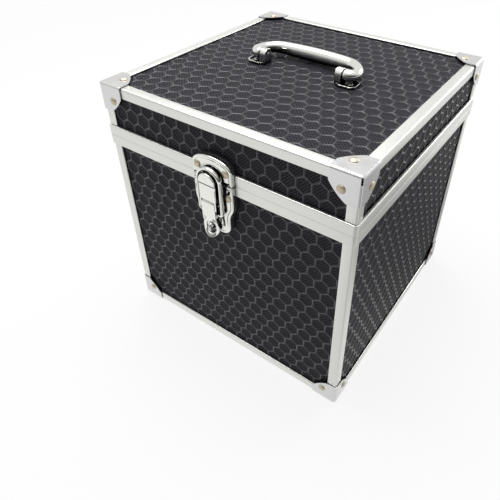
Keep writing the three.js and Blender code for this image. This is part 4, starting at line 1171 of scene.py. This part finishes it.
staple_route = filleted(staple_corners, STAPLE_BEND, 8, closed=False)
staple_hole = (0, STAPLE_UP, STAPLE_HOLE)
base_parts = [
    pressing(base_outline, PLATE_BACK, PLATE_FACE, PLATE_ROLL, grooved=True, hole=staple_hole),
    loft(housing_rings),
    cross_plate(ear_outline, u_inner, u_outer),
    cross_plate(ear_outline, -u_outer, -u_inner),
]
piece("latch_housing_plate", to_frame(join(*base_parts)), "base", "chrome", ["latch_base_plate"], **FINE)
staple = to_frame(wire(staple_route, STAPLE_WIRE, X))
piece("latch_staple_wire", staple, "base", "cap_steel", sharp=PLATE_TURN)
print("rings of the staple:", len(staple_route))

# %% [markdown]
# The lever is bent sheet. Its face follows a side profile while its half width follows a front outline,
# so a grid of (across, along) covers it. The eye at its end is a ring between the slot and the round rim,
# and two flanges run back from its sides to the pin and to the bail.

# %% Lever: the shank
STEP_START, STEP_END = -28.75, -33.25
LEVER_PLAY = 0.25
LEVER_HALF = u_inner - LEVER_PLAY
SPOON_FRONT, SPOON_RADIUS, NECK_HALF = 10.2, 7.8, 5.2
CURL, CURL_DROP, CURL_POWER = 3.0, 6.5, 1.5
CROWN_ROWS = 8
ACROSS_SHARES = np.array([-1, -0.97, -0.9, -0.5, 0, 0.5, 0.9, 0.97, 1])
EDGE_DROPS = np.array([0.45, 0.12, 0, 0, 0, 0, 0, 0.12, 0.45])


def lever_out(up_place):
    """How far the sheet's front lies out at a height: flat, then stepped back, then curled out at the
    tip."""
    stepped = np.interp(up_place, [STEP_END, STEP_START], [SPOON_FRONT, LATCH_FRONT])
    curl_start = STAPLE_UP - SPOON_RADIUS + CURL_DROP
    curled = np.clip((curl_start - up_place) / CURL_DROP, 0, 1) ** CURL_POWER * CURL
    return stepped + curled


crown_angles = np.radians(np.linspace(90, 0, CROWN_ROWS))
shank_up = np.linspace(pivot_up, STEP_START, 8)[1:]
neck_up = np.linspace(STEP_START, STEP_END, 6)[1:]
neck_half = np.interp(neck_up, [STEP_END, STEP_START], [NECK_HALF, LEVER_HALF])
rows_up = np.concatenate([pivot_up + LEVER_ROUND * np.sin(crown_angles), shank_up, neck_up])
rows_half = np.append(np.full(CROWN_ROWS + len(shank_up), LEVER_HALF), neck_half)
crown_out = pivot_out + LEVER_ROUND * np.cos(crown_angles)
rows_out = np.concatenate([crown_out, np.full(len(shank_up), LATCH_FRONT), lever_out(neck_up)])
inward = np.concatenate([
    np.stack([-np.sin(crown_angles), -np.cos(crown_angles)], -1),
    np.tile([0.0, -1.0], (len(shank_up) + len(neck_up), 1)),
]) * LEVER_SHEET
shank_rings = []
for up_place, reach, out, push in zip(rows_up, rows_half, rows_out, inward):
    front = np.array([up_place, out]) + EDGE_DROPS[:, None] * push[None] / LEVER_SHEET
    back = np.tile(np.array([up_place, out]) + push, (len(ACROSS_SHARES), 1))
    front_line = np.column_stack([ACROSS_SHARES * reach, front])
    shank_rings.append(np.concatenate([front_line, np.column_stack([ACROSS_SHARES[::-1] * reach, back])]))
shank = loft(shank_rings)
print("rows of the shank:", len(shank_rings))

# %% Lever: the eye and the flanges
SLOT_HALF_WIDTH, SLOT_UP, SLOT_DOWN = 4.8, -34.1, -44.3
EYE_SIDES, EYE_OVERLAP = 48, 0.6
EYE_SHARES = np.array([0, 0.06, 0.2, 0.5, 0.8, 0.94, 1.0])
EYE_DROPS = np.array([0.4, 0.1, 0, 0, 0, 0.1, 0.4])
BAIL_PIVOT, BAIL_EYE = (8.2, -25.55), 2.6
FLANGE_SUNK = 0.3

round_line = circle(EYE_SIDES)
rim_line = np.array([0, STAPLE_UP]) + SPOON_RADIUS * round_line
rim_line[:, 1] = np.minimum(rim_line[:, 1], STEP_END + EYE_OVERLAP)
slot_straight = (SLOT_UP - SLOT_DOWN) / 2 - SLOT_HALF_WIDTH
slot_shift = (SLOT_UP + SLOT_DOWN) / 2 + slot_straight * np.sign(round_line[:, 1])
slot_line = SLOT_HALF_WIDTH * round_line + np.outer(slot_shift, (0, 1))
front_rings, back_rings = [], []
for share, drop in zip(EYE_SHARES, EYE_DROPS):
    line = slot_line + (rim_line - slot_line) * share
    out = lever_out(line[:, 1])
    front_rings.append(np.column_stack([line, out - drop]))
    back_rings.append(np.column_stack([line, out - LEVER_SHEET]))
eye = loft(np.array(front_rings + back_rings[::-1]).transpose(1, 0, 2), closed=True)
flange_outline = np.concatenate([
    arc((pivot_out, pivot_up), LEVER_ROUND, 0, 180, 14), arc(BAIL_PIVOT, BAIL_EYE, 180, 270, 8),
    [(LATCH_FRONT - FLANGE_SUNK, STEP_START)],
])
flange_places = ((LEVER_HALF - LEVER_SHEET, LEVER_HALF), (-LEVER_HALF, LEVER_SHEET - LEVER_HALF))
flanges = [cross_plate(flange_outline, low, high) for low, high in flange_places]
lever = to_frame(join(shank, eye, *flanges))
piece("latch_lever_sheet", lever, "lever", "chrome", ["latch_lever"], **FINE)
print("faces on the lever:", len(lever[1]))

# %% Bail and pin
BAIL_WIRE, BAIL_HALF, BAIL_ARCH, BAIL_BEND, BAIL_END, BAIL_DEEP = 1.35, 10.4, 1.25, 1.8, 4.6, 1.35

bail_out, bail_up = BAIL_PIVOT
foot_corners = [(BAIL_END, bail_up), (BAIL_HALF, bail_up), (BAIL_HALF, BAIL_ARCH)]
foot_route = filleted(foot_corners, BAIL_BEND, 8, closed=False)
arch_route = arc((0, BAIL_ARCH), BAIL_HALF, 0, 180, 32)[1:-1]
flat_route = np.concatenate([foot_route, arch_route, foot_route[::-1] * (-1, 1)])
bail = to_frame(wire(lifted(flat_route, bail_out), BAIL_WIRE, Z, 20, BAIL_DEEP))
piece("latch_bail_wire", bail, "bail", "chrome", ["latch_bail"], sharp=BAR_TURN)
piece("latch_lever_pin_rod", rod(*node_box("latch_lever_pin")), "base", "zinc", ["latch_lever_pin"])
print("points along the bail:", len(flat_route))

# %% [markdown]
# ## The handle
# The bow is cast and chromed: slim in the legs and fuller in the middle, where the fingers hold it. At
# rest it sags until it nearly touches the board. Its legs turn inwards into barrels about the pivot, and
# each barrel faces the ear of a small bracket across a narrow gap, in which the pin shows.

# %% Bow
HANDLE_HALF, HANDLE_DEPTH, HANDLE_BEND, BARREL_BEND = 46.6, 22.0, 16.5, 5.0
BARREL_RADIUS, LEG_RADIUS, GRIP_RADIUS, GRIP_DEEP = 4.8, 4.3, 5.3, 0.15
GRIP_BOW, GRIP_SAG, LEG_START = 4.0, 1.2, 6.0
BARREL_INNER, BARREL_EASE, BOW_STEP = 39.6, 0.5, 0.8

pin_low, pin_high = node_box("handle_pin_left")
pivot = (pin_low + pin_high) / 2 * (0, 1, 1)
bow_corners = [
    (-BARREL_INNER, 0, 0), (-HANDLE_HALF, 0, 0), (-HANDLE_HALF, HANDLE_DEPTH, 0),
    (HANDLE_HALF, HANDLE_DEPTH, 0), (HANDLE_HALF, 0, 0), (BARREL_INNER, 0, 0),
]
bow_radii = [0, BARREL_BEND, HANDLE_BEND, HANDLE_BEND, BARREL_BEND, 0]
bow_route = spaced(filleted(bow_corners, bow_radii, 12, closed=False), BOW_STEP)
middle_share = 1 - np.clip(np.abs(bow_route[:, 0]) / HANDLE_HALF, 0, 1) ** 2
reach_share = np.clip(bow_route[:, 1] / HANDLE_DEPTH, 0, 1)
swell = middle_share * reach_share
barrel_share = np.clip(1 - bow_route[:, 1] / LEG_START, 0, 1)
bow_radius = LEG_RADIUS + (GRIP_RADIUS - LEG_RADIUS) * swell + (BARREL_RADIUS - LEG_RADIUS) * barrel_share
bow_radius[[0, -1]] -= BARREL_EASE
bow_route[:, 1] += GRIP_BOW * (middle_share - 0.5) * reach_share
bow_route[:, 2] -= GRIP_SAG * swell
points, faces, uv = wire(bow_route, bow_radius, Z, 32, 1 + GRIP_DEEP * swell)
bow = points + pivot, faces, uv
piece("handle_bow_cast", bow, "handle", "chrome", ["handle_bow"], handle_chrome, **FINE)
print(f"bow: {2 * (HANDLE_HALF + LEG_RADIUS):.1f} mm across, {len(faces)} faces")

# %% [markdown]
# A bracket is one casting. Its foot has a raised rim round a sunk middle that holds the screw, and its
# ear is a post with a round top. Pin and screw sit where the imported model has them.

# %% Brackets, pins and screws
PIVOT_RISE = 6.0
EAR_INNER, EAR_OUTER, EAR_EASE = 32.9, 38.7, 0.3
FOOT_OUTER, FOOT_HALF_DEPTH, FOOT_CORNER, FOOT_SHEET = 51.4, 7.5, 3.5, 1.6
FOOT_RIM, FOOT_SUNK, FOOT_FILLET, FOOT_EASE, FOOT_MIDWAY, FOOT_SLOPE = 1.3, 0.8, 0.6, 0.4, 0.12, 0.3
SCREW_RISE = 1.0

foot_top = FOOT_SHEET + CLEARANCE - BOARD_FACE - PIVOT_RISE
foot_bottom = foot_top - FOOT_SHEET
foot_deep = FOOT_HALF_DEPTH - FOOT_CORNER
foot_corners = [
    (EAR_INNER, -foot_deep), (EAR_OUTER, -FOOT_HALF_DEPTH), (FOOT_OUTER - FOOT_CORNER, -FOOT_HALF_DEPTH),
    (FOOT_OUTER, -foot_deep), (FOOT_OUTER, foot_deep), (FOOT_OUTER - FOOT_CORNER, FOOT_HALF_DEPTH),
    (EAR_OUTER, FOOT_HALF_DEPTH), (EAR_INNER, foot_deep),
]
foot_steps = [
    (0, foot_bottom), (0, foot_top - FOOT_EASE), (FOOT_MIDWAY, foot_top - FOOT_MIDWAY), (FOOT_EASE, foot_top),
    (FOOT_RIM, foot_top), (FOOT_RIM + FOOT_SLOPE, foot_top - FOOT_SUNK),
]
foot_rings = raised(filleted(foot_corners, FOOT_FILLET, 4), foot_steps)
ear_profile = np.concatenate([
    [(-BARREL_RADIUS, foot_bottom), (BARREL_RADIUS, foot_bottom)], arc((0, 0), BARREL_RADIUS, 0, 180, 24),
])
ear_steps = [
    (EAR_EASE, EAR_INNER), (0, EAR_INNER + EAR_EASE), (0, EAR_OUTER - EAR_EASE), (EAR_EASE, EAR_OUTER),
]
ear_rings = [ring[:, [2, 0, 1]] for ring in raised(ear_profile, ear_steps)]
points, faces, uv = join(loft(foot_rings), loft(ear_rings))
for hand, (sign, _) in hands.items():
    bracket, pin, screw = (f"handle_{kind}_{hand}" for kind in ("bracket", "pin", "screw"))
    shape = points * (sign, 1, 1) + pivot, faces, uv
    piece(f"{bracket}_cast", shape, "lid", "chrome", [bracket], handle_chrome, **FINE)
    piece(f"{pin}_rod", rod(*node_box(pin)), "lid", "zinc", [pin])
    low, high = node_box(screw)
    place = np.append((low + high)[:2] / 2, pivot[2] + foot_top - FOOT_SUNK)
    head = set_rivet(place, Z, rivet((high[0] - low[0]) / 2, SCREW_RISE))
    piece(f"{screw}_head", head, "lid", "fastener", [screw], finishes["zinc"])
print("handle built")

# %% [markdown]
# ## Finish

# %% Finish
print("finished")
